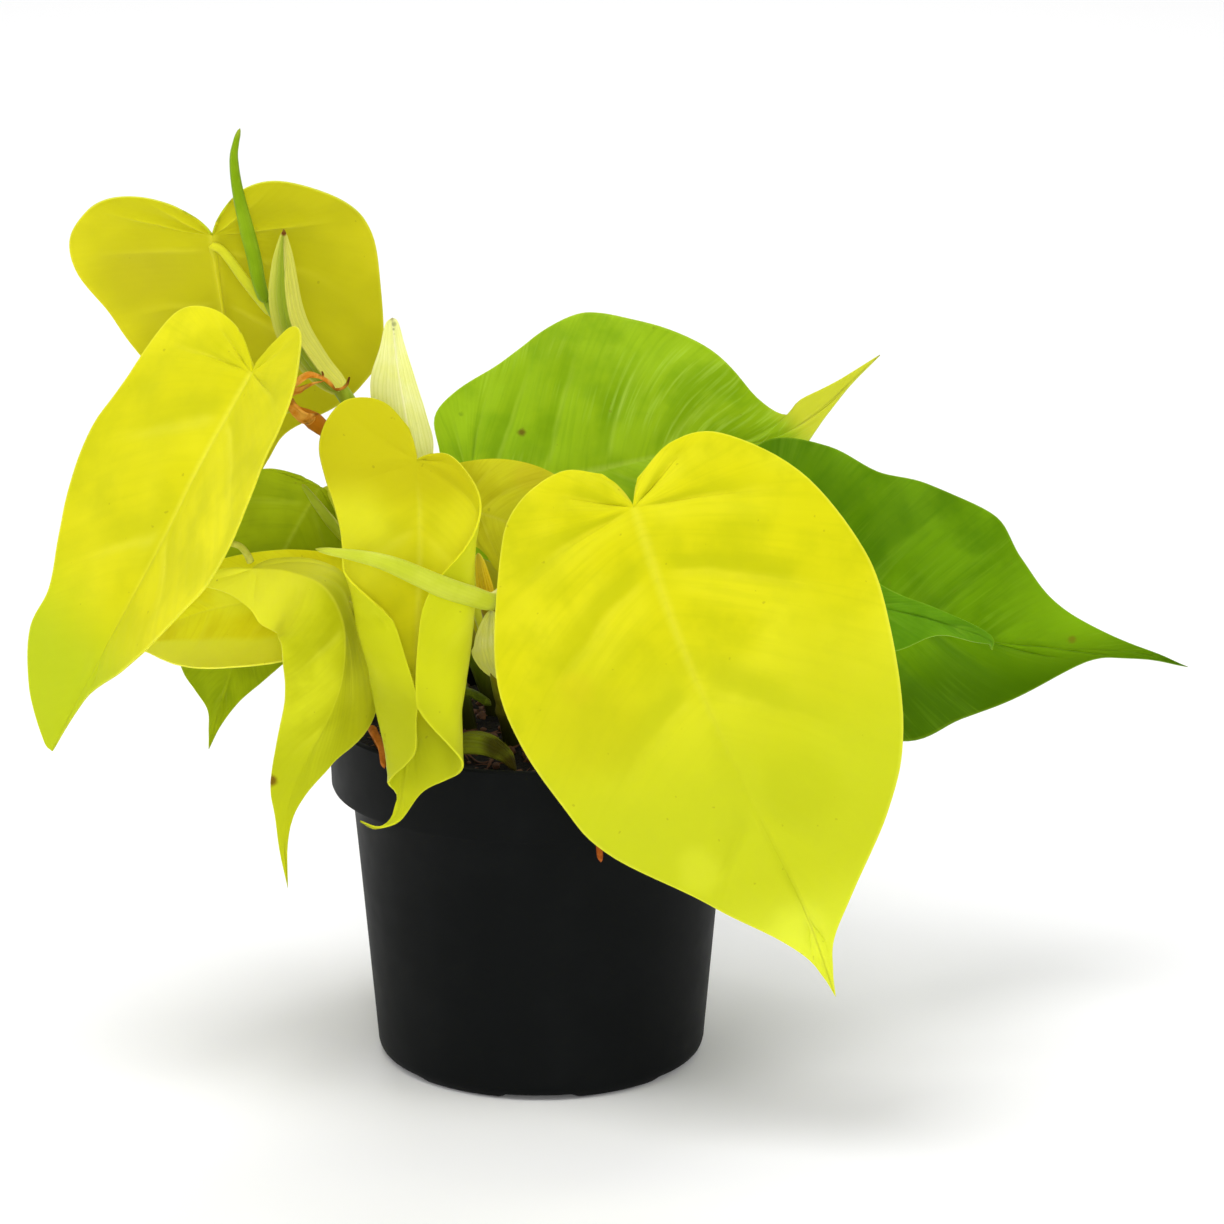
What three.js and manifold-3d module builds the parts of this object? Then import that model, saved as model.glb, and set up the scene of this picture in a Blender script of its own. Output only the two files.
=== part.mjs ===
// A lime philodendron in its black nursery pot: heart-shaped leaves on long petioles, trailing stems,
// rolled young leaves, pale bracts, dried scraps and roots, all standing in peat.
// Millimetres, +Z up. The origin is the middle of the pot's underside, and -Y is the plant's front.
import * as THREE from "three";
import { mergeVertices } from "three/addons/utils/BufferGeometryUtils.js";
import Module from "manifold-3d";

const wasm = await Module();
wasm.setup();

// Driving dimensions
const seatGap = 0.3; // clearance between two pieces that touch
const bladeThickness = 0.8;
const pot = {
  height: 92.5,
  rimRadius: 55,
  collarHeight: 19.5,
  collarTaper: 0.7,
  bodyTopRadius: 49,
  bodyFootRadius: 43,
  cornerHeight: 4.6,
  wall: 1.5,
  floor: 1.6,
  footRise: 1.5, // how far the floor stands above the surface that the foot ring rests on
  footInner: 35.5,
  footOuter: 39.6,
  padRadius: 13,
  notchCount: 6,
  notchWidth: 17,
  drainCount: 8,
  drainRadius: 3.6,
  drainCircle: 27,
  sides: 48,
};
const soil = { top: 86, mound: 2.4, grain: 0.9, rings: 4 };

const colours = {
  lime: 0xdedc1e,
  limeShade: 0xc2bd22,
  leafGreen: 0x7fae1c,
  deepGreen: 0x4f8212,
  olive: 0x8f9f16,
  stemGreen: 0x8ca62a,
  paleBract: 0xd9dc94,
  amber: 0xd2a52a,
  driedBrown: 0xb5622a,
  peat: 0x2a1d16,
  potBlack: 0x17191a,
};

const vec = (p) => new THREE.Vector3(...p);
const at = (across, length) => new THREE.Vector2(across, length);
const lerp = THREE.MathUtils.lerp;
const radians = THREE.MathUtils.degToRad;

// A value that changes along a piece: evenly spaced stations, joined by straight lines.
function along(stations, share) {
  const place = THREE.MathUtils.clamp(share, 0, 1) * (stations.length - 1);
  const index = Math.min(Math.floor(place), stations.length - 2);
  if (stations.length === 1) return stations[0];
  return lerp(stations[index], stations[index + 1], place - index);
}

// Solids

function geometryFrom(points, faces) {
  const geometry = new THREE.BufferGeometry();
  geometry.setAttribute("position", new THREE.Float32BufferAttribute(points.flat(), 3));
  geometry.setIndex(faces.flat());
  return geometry;
}

function solidOf(geometry) {
  const bare = geometry.clone();
  bare.deleteAttribute("normal");
  bare.deleteAttribute("uv");
  const merged = mergeVertices(bare, 1e-3);
  return new wasm.Manifold(
    new wasm.Mesh({
      numProp: 3,
      vertProperties: merged.attributes.position.array,
      triVerts: new Uint32Array(merged.index.array),
    }),
  );
}

function geometryOf(solid) {
  const mesh = solid.getMesh();
  const geometry = new THREE.BufferGeometry();
  geometry.setAttribute("position", new THREE.BufferAttribute(mesh.vertProperties, 3));
  geometry.setIndex(new THREE.BufferAttribute(mesh.triVerts, 1));
  return geometry;
}

// What is left of a piece after its seat is cut, without the crumbs that lay inside the stem.
const mainBody = (solid) =>
  solid.decompose().reduce((most, body) => (body.volume() > most.volume() ? body : most));

// Tubes, rolled leaves and roots: round rings along a curve, closed by a fan at each end.
// The rings may be flattened, and their radius follows its stations from root to tip.
function loft(path, radii, { sides = 8, steps = 12, flatten = 1, grow = 0 } = {}) {
  const curve = new THREE.CatmullRomCurve3(path.map(vec), false, "catmullrom");
  const frames = curve.computeFrenetFrames(steps, false);
  const points = [];
  const faces = [];
  for (let step = 0; step <= steps; step++) {
    const centre = curve.getPointAt(step / steps);
    const radius = along(radii, step / steps) + grow;
    for (let side = 0; side < sides; side++) {
      const turn = (2 * Math.PI * side) / sides;
      const point = centre
        .clone()
        .addScaledVector(frames.normals[step], radius * Math.cos(turn))
        .addScaledVector(frames.binormals[step], radius * flatten * Math.sin(turn));
      points.push(point.toArray());
    }
  }
  for (let step = 0; step < steps; step++)
    for (let side = 0; side < sides; side++) {
      const a = step * sides + side;
      const b = step * sides + ((side + 1) % sides);
      faces.push([a, b, b + sides], [a, b + sides, a + sides]);
    }
  const last = steps * sides;
  for (let side = 1; side < sides - 1; side++) {
    faces.push([0, side + 1, side]);
    faces.push([last, last + side, last + side + 1]);
  }
  return geometryFrom(points, faces);
}

// Outlines of one half of a blade, from beside the sinus, round the lobe, to the tip. Each point is
// a share of the half width (across), then a share of the length from the sinus (0) to the tip (1).
const heartEdge = (lobe) => [
  [0.14, -0.75 * lobe],
  [0.36, -1.08 * lobe],
  [0.62, -0.92 * lobe],
  [0.85, -0.35 * lobe],
  [0.97, 0.1],
  [1, 0.25],
  [0.94, 0.43],
  [0.79, 0.59],
  [0.57, 0.72],
  [0.31, 0.83],
  [0.1, 0.92],
  [0, 1],
];

const bractEdge = [
  [0.5, 0],
  [0.85, 0.08],
  [1, 0.25],
  [0.92, 0.5],
  [0.6, 0.78],
  [0.25, 0.94],
  [0, 1],
];

// The side veins leave the midrib low down and sweep towards the tip: where each one starts.
const veinStart = (length) => Math.max(0, (length - 0.05) / 0.95) ** 1.8;

// The blade's midrib in space, with the direction to the blade's right and its upper face's normal.
function spineOf(points, [sideAtSinus, sideAtTip]) {
  const curve = new THREE.CatmullRomCurve3(points.map(vec), false, "catmullrom");
  const length = curve.getLength();
  return (share) => {
    const on = THREE.MathUtils.clamp(share, 0, 1);
    const ahead = curve.getTangentAt(on);
    const right = vec(sideAtSinus).lerp(vec(sideAtTip), on);
    right.addScaledVector(ahead, -right.dot(ahead)).normalize();
    const up = ahead.clone().cross(right);
    const centre = curve.getPointAt(on).addScaledVector(ahead, (share - on) * length);
    return { centre, ahead, right, up };
  };
}

// The angle at which a half rises from the blade's plane, from its table of bends: a row for each
// place along the midrib, and in each row the angles from the midrib out to the margin.
function bendAt(bends, length, across) {
  const place = THREE.MathUtils.clamp(length, 0, 1) * (bends.length - 1);
  const row = Math.min(Math.floor(place), Math.max(bends.length - 2, 0));
  const next = bends[Math.min(row + 1, bends.length - 1)];
  return radians(lerp(along(bends[row], across), along(next, across), place - row));
}

// A blade without thickness. Each half follows its bends from the midrib to its margin, and the
// margin may wave: by how much, how often and from which phase.
function bladeSurface(blade) {
  const { stepsAcross = 3, rays: rayCount = 13 } = blade;
  const spine = spineOf(blade.midrib, blade.side);
  const points = [];
  const faces = [];
  const halves = [blade.right, blade.left];
  const outlines = halves.map((half) => {
    const edge = half.edge ?? heartEdge(half.lobe);
    return new THREE.SplineCurve(edge.map((place) => at(...place)));
  });
  for (const [side, half] of halves.entries()) {
    const sign = side === 0 ? 1 : -1;
    const [waveSize, waveCount, wavePhase] = half.wave ?? [0, 0, 0];
    const first = points.length;
    for (let ray = 0; ray <= rayCount; ray++) {
      const ends = outlines.map((outline) => outline.getPoint(ray / rayCount));
      const end = ends[side];
      const start = veinStart((ends[0].y + ends[1].y) / 2);
      const inLobe = Math.max(0, 1 - ray / 3);
      const bend = at(
        lerp(0.5, 0.25, inLobe) * end.x,
        start + lerp(0.3, 0.6, inLobe) * (end.y - start),
      );
      const vein = new THREE.QuadraticBezierCurve(at(0, start), bend, end);
      for (let step = 0; step <= stepsAcross; step++) {
        const { x, y } = vein.getPoint(step / stepsAcross);
        const { centre, right, up } = spine(y);
        let across = 0;
        let rise = waveSize * x ** 3 * Math.sin(2 * Math.PI * (waveCount * y + wavePhase));
        for (let part = 0.5; part < 12; part++) {
          const angle = bendAt(half.bends, y, (x * part) / 12);
          across += (half.width * x * Math.cos(angle)) / 12;
          rise += (half.width * x * Math.sin(angle)) / 12;
        }
        centre.addScaledVector(right, sign * across).addScaledVector(up, rise);
        points.push(centre.toArray());
      }
    }
    const row = stepsAcross + 1;
    for (let ray = 0; ray < rayCount; ray++)
      for (let step = 0; step < stepsAcross; step++) {
        const a = first + ray * row + step;
        const quad = [[a, a + row, a + row + 1], [a, a + row + 1, a + 1]];
        for (const face of quad) faces.push(sign > 0 ? face : face.reverse());
      }
  }
  return { points, faces };
}

// Gives an open surface its thickness, both ways from where it lies, and closes its margin.
function thicken(surface, thickness) {
  const sheet = mergeVertices(geometryFrom(surface.points, surface.faces), 1e-3);
  const index = [...sheet.index.array];
  const faces = [];
  for (let i = 0; i < index.length; i += 3) {
    const face = index.slice(i, i + 3);
    if (new Set(face).size === 3) faces.push(face);
  }
  sheet.setIndex(faces.flat());
  sheet.computeVertexNormals();
  const count = sheet.attributes.position.count;
  const points = [];
  for (const way of [0.5, -0.5])
    for (let i = 0; i < count; i++) {
      const point = new THREE.Vector3().fromBufferAttribute(sheet.attributes.position, i);
      const normal = new THREE.Vector3().fromBufferAttribute(sheet.attributes.normal, i);
      points.push(point.addScaledVector(normal, way * thickness).toArray());
    }
  const sides = new Set(faces.flatMap(([a, b, c]) => [`${a},${b}`, `${b},${c}`, `${c},${a}`]));
  const closed = faces.flatMap(([a, b, c]) => [[a, b, c], [c + count, b + count, a + count]]);
  for (const side of sides) {
    const [a, b] = side.split(",").map(Number);
    if (!sides.has(`${b},${a}`)) closed.push([b, a, a + count], [b, a + count, b + count]);
  }
  return geometryFrom(points, closed);
}

// Stems: each path starts in the peat, and its radius follows its stations.
const stemRadii = [2.5, 2.3, 2.1, 1.8];
const stems = {
  stem_tall: [[-10, 8, 74], [-12, 8, 90], [-22, 6, 118], [-37, 1, 153], [-50, -4, 178], [-62, -3, 192],
    [-70, 0, 202]],
  stem_left: [[-18, -2, 74], [-19, -3, 90], [-27, -6, 122], [-43, -11, 158], [-55, -13, 171],
    [-63, -15, 177]],
  stem_middle: [[-6, -18, 74], [-7, -20, 90], [-10, -26, 108], [-12, -32, 124], [-11, -38, 134]],
  stem_bract: [[-22, -14, 74], [-23, -15, 90], [-27, -20, 125], [-29, -25, 162]],
  stem_low: [[-28, 2, 74], [-30, 1, 90], [-40, -6, 112], [-46, -8, 132], [-50, -7, 143]],
  stem_rear: [[8, 14, 74], [8, 15, 90], [5, 19, 116], [-1, 17, 136], [-4, 15, 148]],
  stem_rear_low: [[-10, 26, 74], [-11, 28, 90], [-14, 35, 104], [-17, 42, 114]],
};

// A stem, or the clear room round it and past its ends when it's grown.
function stemTube(name, grow = 0) {
  const path = stems[name].map(vec);
  const onward = path.at(-1).clone().sub(path.at(-2)).setLength(grow);
  const back = path[0].clone().sub(path[1]).setLength(grow);
  path.at(-1).add(onward);
  path[0].add(back);
  const reach = path.map((point) => point.toArray());
  return loft(reach, stemRadii, { sides: 8, steps: path.length * 2, grow });
}

// Leaves. The midrib runs from the sinus to the tip, and side gives the direction to the blade's
// right, seen from its upper face, at both. Widths are half widths, measured flat. A petiole's
// path runs from inside its stem to below the sinus.
const leaves = {
  leaf_front: {
    colour: colours.lime,
    midrib: [[24, -64, 163], [35, -76, 133], [51, -84, 98], [66, -88, 67], [73.5, -90, 46]],
    side: [[0.92, -0.1, 0.38], [0.92, -0.1, 0.38]],
    rays: 16,
    right: {
      width: 50,
      edge: [[0.07, -0.05], [0.3, -0.09], [0.55, -0.07], [0.87, 0.06], [1.01, 0.24], [0.98, 0.4],
        [0.81, 0.6], [0.6, 0.71], [0.27, 0.82], [0.09, 0.89], [0.03, 0.95], [0, 1]],
      bends: [[8, -6], [4, -6], [6, 0]],
      wave: [1.2, 3, 0.1],
    },
    left: {
      width: 47,
      edge: [[0.1, -0.08], [0.3, -0.11], [0.57, -0.08], [0.75, 0], [0.97, 0.2], [1, 0.33],
        [0.93, 0.46], [0.82, 0.57], [0.5, 0.71], [0.36, 0.78], [0.1, 0.9], [0.03, 0.955], [0, 1]],
      bends: [[8, -8], [4, -8], [6, 0]],
      wave: [1.2, 3, 0.6],
    },
    stem: "stem_middle",
    petiole: [[-12, -32, 124], [0, -40, 134], [14, -53, 152]],
  },
  leaf_folded: {
    colour: colours.lime,
    midrib: [[-29.6, -42, 169.5], [-28.9, -46, 150], [-29.4, -51, 131], [-30.4, -55, 111.4],
      [-32.9, -60, 92], [-35, -62, 83], [-39.3, -65, 81.2], [-43.6, -67, 83.7]],
    side: [[1, 0, 0], [0.8, -0.3, 0.5]],
    stepsAcross: 7,
    rays: 16,
    right: {
      width: 31,
      edge: [[0.05, 0.005], [0.14, -0.015], [0.3, -0.01], [0.47, 0.035], [0.64, 0.1], [0.84, 0.2],
        [1.03, 0.33], [1.04, 0.47], [0.96, 0.6], [0.78, 0.69], [0.56, 0.745], [0.36, 0.775], [0.18, 0.81],
        [0.08, 0.86], [0.03, 0.92], [0, 1]],
      bends: [
        [20, 30, 40, 50, 50],
        [10, 20, 55, 105, 130],
        [0, 0, 55, 165, 180],
        [0, 5, 65, 165, 180],
        [0, 0, 25, 50, 60],
        [0, 0, 0, 0, 0],
      ],
    },
    left: {
      width: 27,
      edge: [[0.06, -0.08], [0.25, -0.14], [0.46, -0.16], [0.68, -0.15], [0.85, -0.1], [0.92, -0.04],
        [0.88, 0.03], [0.8, 0.1], [0.74, 0.18], [0.75, 0.25], [0.92, 0.31], [1.08, 0.4], [1.04, 0.5],
        [0.92, 0.6], [0.78, 0.7], [0.6, 0.745], [0.34, 0.785], [0.06, 0.825], [0.04, 0.88], [0.03, 0.94],
        [0, 1]],
      bends: [
        [8, 12, 18, 25, 30],
        [8, 12, 20, 35, 60],
        [0, 0, 20, 165, 180],
        [0, 20, 150, 180, 180],
        [20, 140, 180, 180, 180],
        [20, 140, 180, 180, 180],
      ],
    },
    stem: "stem_bract",
    petiole: [[-28.3, -22, 138], [-31, -27, 150], [-30.5, -36, 162]],
  },
  leaf_drooping: {
    colour: colours.lime,
    midrib: [[-71, -40, 141], [-61.5, -43, 141], [-52.6, -47, 138], [-48, -49, 129], [-48.3, -50, 116.4],
      [-51.6, -51, 106.3], [-57.4, -53, 96], [-61.7, -55, 86], [-63.2, -57, 75.5], [-62.4, -58, 63]],
    side: [[0, 0.7, 0.7], [1, 0, 0]],
    stepsAcross: 4,
    rays: 15,
    right: {
      width: 24,
      edge: [[0.09, 0], [0.33, 0.02], [0.48, 0.06], [0.65, 0.12], [0.82, 0.22], [0.95, 0.34], [1.04, 0.46],
        [0.85, 0.53], [0.42, 0.62], [0.28, 0.68], [0.15, 0.76], [0.06, 0.84], [0, 1]],
      bends: [[-40, -60], [-40, -60], [-15, -30], [-10, -15], [0, 0]],
    },
    left: {
      width: 22,
      edge: [[0.02, -0.07], [0.1, -0.11], [0.23, -0.14], [0.32, -0.05], [0.49, 0.02], [0.71, 0.08],
        [0.82, 0.2], [0.85, 0.33], [0.79, 0.41], [0.64, 0.51], [0.4, 0.65], [0.24, 0.76], [0.1, 0.84],
        [0, 1]],
      bends: [[-5, -20], [-10, -30], [-10, -30], [-5, -15], [0, 0]],
    },
    stem: "stem_low",
    petiole: [[-41, -6, 114], [-40, -22, 121], [-50, -37, 132], [-64, -39.5, 138.5]],
  },
  leaf_long: {
    colour: colours.lime,
    midrib: [[-70.3, -38, 190.7], [-76.2, -41, 180.7], [-84, -45, 167], [-93, -48, 149.3],
      [-106, -50, 125.4], [-121.7, -46, 95.3]],
    side: [[0.7, -0.7, 0.2], [0.7, -0.7, 0.2]],
    right: {
      width: 37,
      edge: [[0.05, -0.06], [0.22, -0.13], [0.5, -0.12], [0.83, -0.02], [0.98, 0.1], [1.02, 0.25], [0.93, 0.43],
        [0.66, 0.58], [0.36, 0.7], [0.11, 0.8], [0.03, 0.88], [0, 1]],
      bends: [[18, 12], [14, 12], [10, 0]],
    },
    left: {
      width: 38,
      edge: [[0.1, -0.03], [0.3, -0.075], [0.55, -0.085], [0.77, -0.055], [0.87, 0.01], [0.92, 0.12],
        [0.97, 0.28], [0.92, 0.45], [0.8, 0.58], [0.66, 0.7], [0.64, 0.82], [0.4, 0.93], [0.1, 0.995], [0, 1]],
      bends: [[18, 12], [14, 12], [10, 0]],
    },
    stem: "stem_left",
    petiole: [[-61, -14.6, 176], [-67, -18, 177.5], [-71.5, -27, 183.5]],
  },
  leaf_high: {
    colour: colours.limeShade,
    midrib: [[-83, 8, 216], [-81.6, 16, 197.4], [-79.5, 26, 171.4], [-77, 36, 141.4]],
    side: [[-1, 0, 0], [-1, 0, 0]],
    right: {
      width: 36.5,
      edge: [[0.1, -0.06], [0.27, -0.11], [0.5, -0.14], [0.72, -0.135], [0.88, -0.09], [1.02, 0.01],
        [1, 0.14], [0.83, 0.28], [0.7, 0.41], [0.45, 0.6], [0.18, 0.78], [0, 1]],
      bends: [[10, 0], [4, 0], [4, 0]],
    },
    left: {
      width: 41,
      edge: [[0.04, -0.05], [0.21, -0.15], [0.47, -0.17], [0.82, -0.08], [0.98, 0.05], [1, 0.26],
        [0.96, 0.5], [0.8, 0.63], [0.6, 0.71], [0.29, 0.785], [0.15, 0.88], [0, 1]],
      bends: [[10, 0], [4, 0], [4, 0]],
    },
    stem: "stem_tall",
    petiole: [[-66, -1.6, 197], [-69.8, 2.4, 199.5], [-75, 4, 205.5], [-80, 5.5, 212]],
  },
  leaf_sideways: {
    colour: colours.limeShade,
    midrib: [[-47, -13, 126], [-65.8, -18, 127], [-86, -20, 124], [-106.8, -18, 114.4]],
    side: [[0, -0.7, -0.7], [0, -0.7, -0.7]],
    right: {
      width: 23,
      edge: [[0.2, -0.03], [0.5, 0.05], [0.8, 0.18], [1, 0.35], [0.98, 0.52], [0.87, 0.65], [0.68, 0.75],
        [0.48, 0.82], [0.22, 0.9], [0, 1]],
      bends: [[5, 15, 35]],
    },
    left: {
      width: 13.5,
      edge: [[0.4, -0.05], [0.75, -0.02], [0.95, 0.15], [1, 0.4], [0.9, 0.62], [0.6, 0.8], [0.25, 0.92],
        [0, 1]],
      bends: [[5, 10]],
    },
    stem: "stem_low",
    petiole: [[-45.5, -8, 131], [-43.5, -9, 127], [-43.5, -11, 125]],
  },
  leaf_green: {
    colour: colours.olive,
    midrib: [[-56.3, 2, 151.4], [-65, -1, 136.2], [-72.5, -4, 120], [-79.5, -7, 104.5], [-85.5, -9, 84.3]],
    side: [[0.9, -0.3, 0.3], [0.9, -0.3, 0.3]],
    right: {
      width: 17,
      edge: [[0.2, 0], [0.55, 0.07], [0.8, 0.18], [0.95, 0.36], [0.8, 0.54], [0.52, 0.7], [0.25, 0.81],
        [0.08, 0.91], [0, 1]],
      bends: [[-35, -45], [-30, -30], [-10, -10]],
    },
    left: {
      width: 26,
      edge: [[0.25, 0], [0.47, 0.02], [0.65, 0.05], [0.9, 0.12], [1, 0.3], [0.94, 0.5], [0.76, 0.66],
        [0.5, 0.77], [0.3, 0.82], [0.12, 0.87], [0.05, 0.94], [0, 1]],
      bends: [[5, -5], [5, -5]],
    },
    stem: "stem_low",
    petiole: [[-49, -7, 140], [-51, -2, 146], [-54, 3, 150]],
  },
  leaf_back: {
    colour: colours.leafGreen,
    rays: 15,
    midrib: [[-18.3, 24, 146.5], [5, 28, 147.2], [39.2, 36, 152.8], [60.4, 40, 154.5], [73.6, 42, 162.2],
      [89.5, 46, 176.2]],
    side: [[0, 0.6, 0.8], [-0.2, 0.6, 0.8]],
    right: {
      width: 49,
      edge: [[0.2, -0.06], [0.42, -0.06], [0.59, 0.01], [0.72, 0.09], [0.83, 0.18], [0.97, 0.33], [0.95, 0.41],
        [0.8, 0.5], [0.6, 0.585], [0.34, 0.67], [0.1, 0.745], [0.12, 0.8], [0.05, 0.91], [0, 1]],
      bends: [[0, -15]],
    },
    left: {
      width: 28,
      edge: [[0.25, -0.08], [0.6, -0.05], [0.9, 0.1], [1, 0.3], [0.85, 0.5], [0.5, 0.65], [0.17, 0.77],
        [0.03, 0.88], [0, 1]],
      bends: [[10, -15]],
    },
    stem: "stem_rear",
    petiole: [[-3, 15.5, 145], [-8, 21.5, 147], [-13.5, 23.2, 145]],
  },
  leaf_right: {
    colour: colours.deepGreen,
    midrib: [[57, 2, 132], [83.2, 10, 119], [118, 20, 105], [155.6, 26, 100.3], [171.3, 28, 95.6]],
    side: [[0.1, 0.5, 0.85], [0.1, 0.5, 0.85]],
    right: {
      width: 36,
      edge: [[0.15, -0.08], [0.45, -0.11], [0.85, -0.06], [1, 0.08], [0.96, 0.22], [1.01, 0.34], [0.93, 0.53],
        [0.65, 0.616], [0.37, 0.69], [0.2, 0.767], [0.06, 0.87], [0, 1]],
      bends: [[8, -2]],
    },
    left: {
      width: 35,
      edge: [[0.15, -0.08], [0.4, -0.11], [0.8, -0.04], [1, 0.2], [0.95, 0.4], [0.66, 0.51], [0.39, 0.63],
        [0.16, 0.737], [0.07, 0.8], [0.05, 0.87], [0, 1]],
      bends: [[8, -2]],
    },
    stem: "stem_rear",
    petiole: [[6, 18, 112], [22, 4, 120], [44, -1, 131]],
  },
  leaf_tucked: {
    colour: colours.leafGreen,
    midrib: [[58.6, -24, 139], [78.8, -28, 130], [99, -26, 124], [113.5, -22, 118], [115.4, -21, 114.5]],
    side: [[0.1, 0.4, 0.9], [0.6, 0.4, 0.6]],
    right: {
      width: 12,
      edge: [[0.4, -0.08], [0.9, 0], [1, 0.15], [0.75, 0.3], [0.39, 0.51], [0.26, 0.7], [0.13, 0.92], [0, 1]],
      bends: [[10, 10]],
    },
    left: {
      width: 16,
      edge: [[0.4, -0.08], [0.9, 0], [1, 0.2], [0.9, 0.4], [0.62, 0.575], [0.22, 0.73], [0.13, 0.9], [0, 1]],
      bends: [[10, 10]],
    },
    stem: "stem_middle",
    petiole: [[-9.5, -26, 108], [15, -28, 124], [44, -25, 138]],
  },
  leaf_olive: {
    colour: colours.limeShade,
    midrib: [[-21, -12, 150], [-4.6, -18, 146], [13, -26, 137.5], [30.7, -36, 125]],
    side: [[0, 0.2, 1], [0, 0.2, 1]],
    right: {
      width: 16,
      edge: [[0.3, -0.1], [0.55, -0.075], [0.75, 0], [0.92, 0.13], [1, 0.27], [0.95, 0.4], [0.8, 0.55],
        [0.5, 0.75], [0.2, 0.9], [0, 1]],
      bends: [[0, -15]],
    },
    left: {
      width: 14,
      edge: [[0.3, -0.08], [0.5, 0], [0.65, 0.15], [0.94, 0.26], [1, 0.4], [0.8, 0.6], [0.4, 0.8], [0, 1]],
      bends: [[0, -15]],
    },
    stem: "stem_middle",
    petiole: [[-11, -28.5, 115], [-17, -17, 128], [-23, -11, 144]],
  },
  leaf_rear: {
    colour: colours.lime,
    midrib: [[35, 56, 148], [36, 68, 122], [34, 80, 92], [28, 88, 64]],
    side: [[-1, 0.1, 0], [-1, 0.1, 0]],
    right: { width: 36, lobe: 0.1, bends: [[8, -6]], wave: [1.2, 3, 0.3] },
    left: { width: 38, lobe: 0.1, bends: [[8, -6]] },
    stem: "stem_rear",
    petiole: [[3, 19, 122], [14, 32, 140], [30, 50, 147]],
  },
  leaf_rear_low: {
    colour: colours.lime,
    midrib: [[-20, 62, 118], [-24, 72, 98], [-28, 80, 74], [-33, 84, 50]],
    side: [[-1, 0.1, 0.1], [-1, 0.1, 0.1]],
    right: { width: 28, lobe: 0.1, bends: [[8, -6]] },
    left: { width: 28, lobe: 0.1, bends: [[8, -6]] },
    stem: "stem_rear_low",
    petiole: [[-16, 40, 111], [-17, 48, 118], [-19, 57, 118]],
  },
};

const ribPlaces = [0.05, 0.16]; // where the petiole runs on as the rib below the blade
const petioleRadii = [1.7, 1.5, 1.3, 1.2, 0.9, 0.5];

function leafGeometry(leaf) {
  const blade = thicken(bladeSurface(leaf), bladeThickness);
  const spine = spineOf(leaf.midrib, leaf.side);
  const rib = ribPlaces.map((share) => {
    const { centre, up } = spine(share);
    return centre.addScaledVector(up, -0.6).toArray();
  });
  const petiole = loft([...leaf.petiole, ...rib], petioleRadii, { sides: 6, steps: 8 });
  const seat = solidOf(stemTube(leaf.stem, seatGap));
  return geometryOf(mainBody(solidOf(blade).add(solidOf(petiole)).subtract(seat)));
}

// Bracts: boat-shaped sheaths, with the keel outwards. Each is cut clear of the stem that it hugs.
const bracts = {
  bract_red: {
    colour: colours.stemGreen,
    midrib: [[-50.5, -8.2, 179], [-56, -8.8, 185.5], [-61.5, -9, 195], [-63.4, -9, 205], [-63.7, -9, 221]],
    side: [[0.95, 0.1, 0.3], [1, 0, 0]],
    right: {
      width: 5.6,
      edge: [[0.8, 0], [0.95, 0.06], [1, 0.22], [0.9, 0.5], [0.6, 0.78], [0.25, 0.94], [0, 1]],
      bends: [[45, 65], [40, 50], [40, 40]],
    },
    left: { width: 6.5, edge: bractEdge, bends: [[50, 60], [30, 40], [20, 20]] },
    stem: "stem_tall",
  },
  bract_white: {
    colour: colours.paleBract,
    midrib: [[-31, -26.5, 161], [-32.2, -31, 174.5], [-34.4, -33, 190.3], [-35.7, -33, 203.5]],
    side: [[1, 0, 0.1], [1, 0, 0.1]],
    right: {
      width: 7,
      edge: [[0.6, 0], [0.9, 0.08], [1, 0.2], [0.85, 0.36], [0.62, 0.6], [0.35, 0.85], [0.2, 0.97], [0, 1]],
      bends: [[30, 50], [20, 30]],
    },
    left: {
      width: 10,
      edge: [[0.6, 0], [0.85, 0.1], [1, 0.3], [0.98, 0.5], [0.82, 0.65], [0.45, 0.82], [0.22, 0.96], [0, 1]],
      bends: [[30, 50], [20, 30]],
    },
    stem: "stem_bract",
  },
  bract_pale: {
    colour: colours.paleBract,
    midrib: [[-9.5, -29, 109], [-12.5, -35, 119], [-11.5, -40.5, 130.5]],
    side: [[1, -0.1, 0], [1, -0.1, 0]],
    right: { width: 5.5, edge: bractEdge, bends: [[20, 70]] },
    left: {
      width: 7.5,
      edge: [[0.5, 0], [0.9, 0.06], [1, 0.18], [0.88, 0.32], [0.6, 0.45], [0.42, 0.65], [0.2, 0.9], [0, 1]],
      bends: [[20, 50]],
    },
    stem: "stem_middle",
  },
  sheath_amber: {
    colour: colours.amber,
    midrib: [[-12.5, -33, 128.5], [-13.9, -35, 138], [-14.8, -36, 144]],
    side: [[1, 0, 0.3], [1, 0, 0.3]],
    right: { width: 2.6, edge: bractEdge, bends: [[20, 40]] },
    left: { width: 2.4, edge: bractEdge, bends: [[20, 40]] },
    stem: "stem_middle",
  },
  leaf_soil: {
    colour: colours.leafGreen,
    midrib: [[-25.5, -32, 85.5], [-21.5, -34, 95], [-14, -39, 97], [-8, -45, 95], [-5.3, -49, 91]],
    side: [[-0.6, -0.7, -0.3], [-0.6, -0.7, -0.3]],
    right: { width: 6, edge: bractEdge, bends: [[20, 40]] },
    left: { width: 3.5, edge: bractEdge, bends: [[20, 20]] },
  },
};

function bractGeometry(bract) {
  const blade = solidOf(thicken(bladeSurface({ stepsAcross: 2, rays: 8, ...bract }), bladeThickness));
  const seat = bract.stem ? solidOf(stemTube(bract.stem, seatGap)) : soilRaised;
  return geometryOf(mainBody(blade.subtract(seat)));
}

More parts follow.
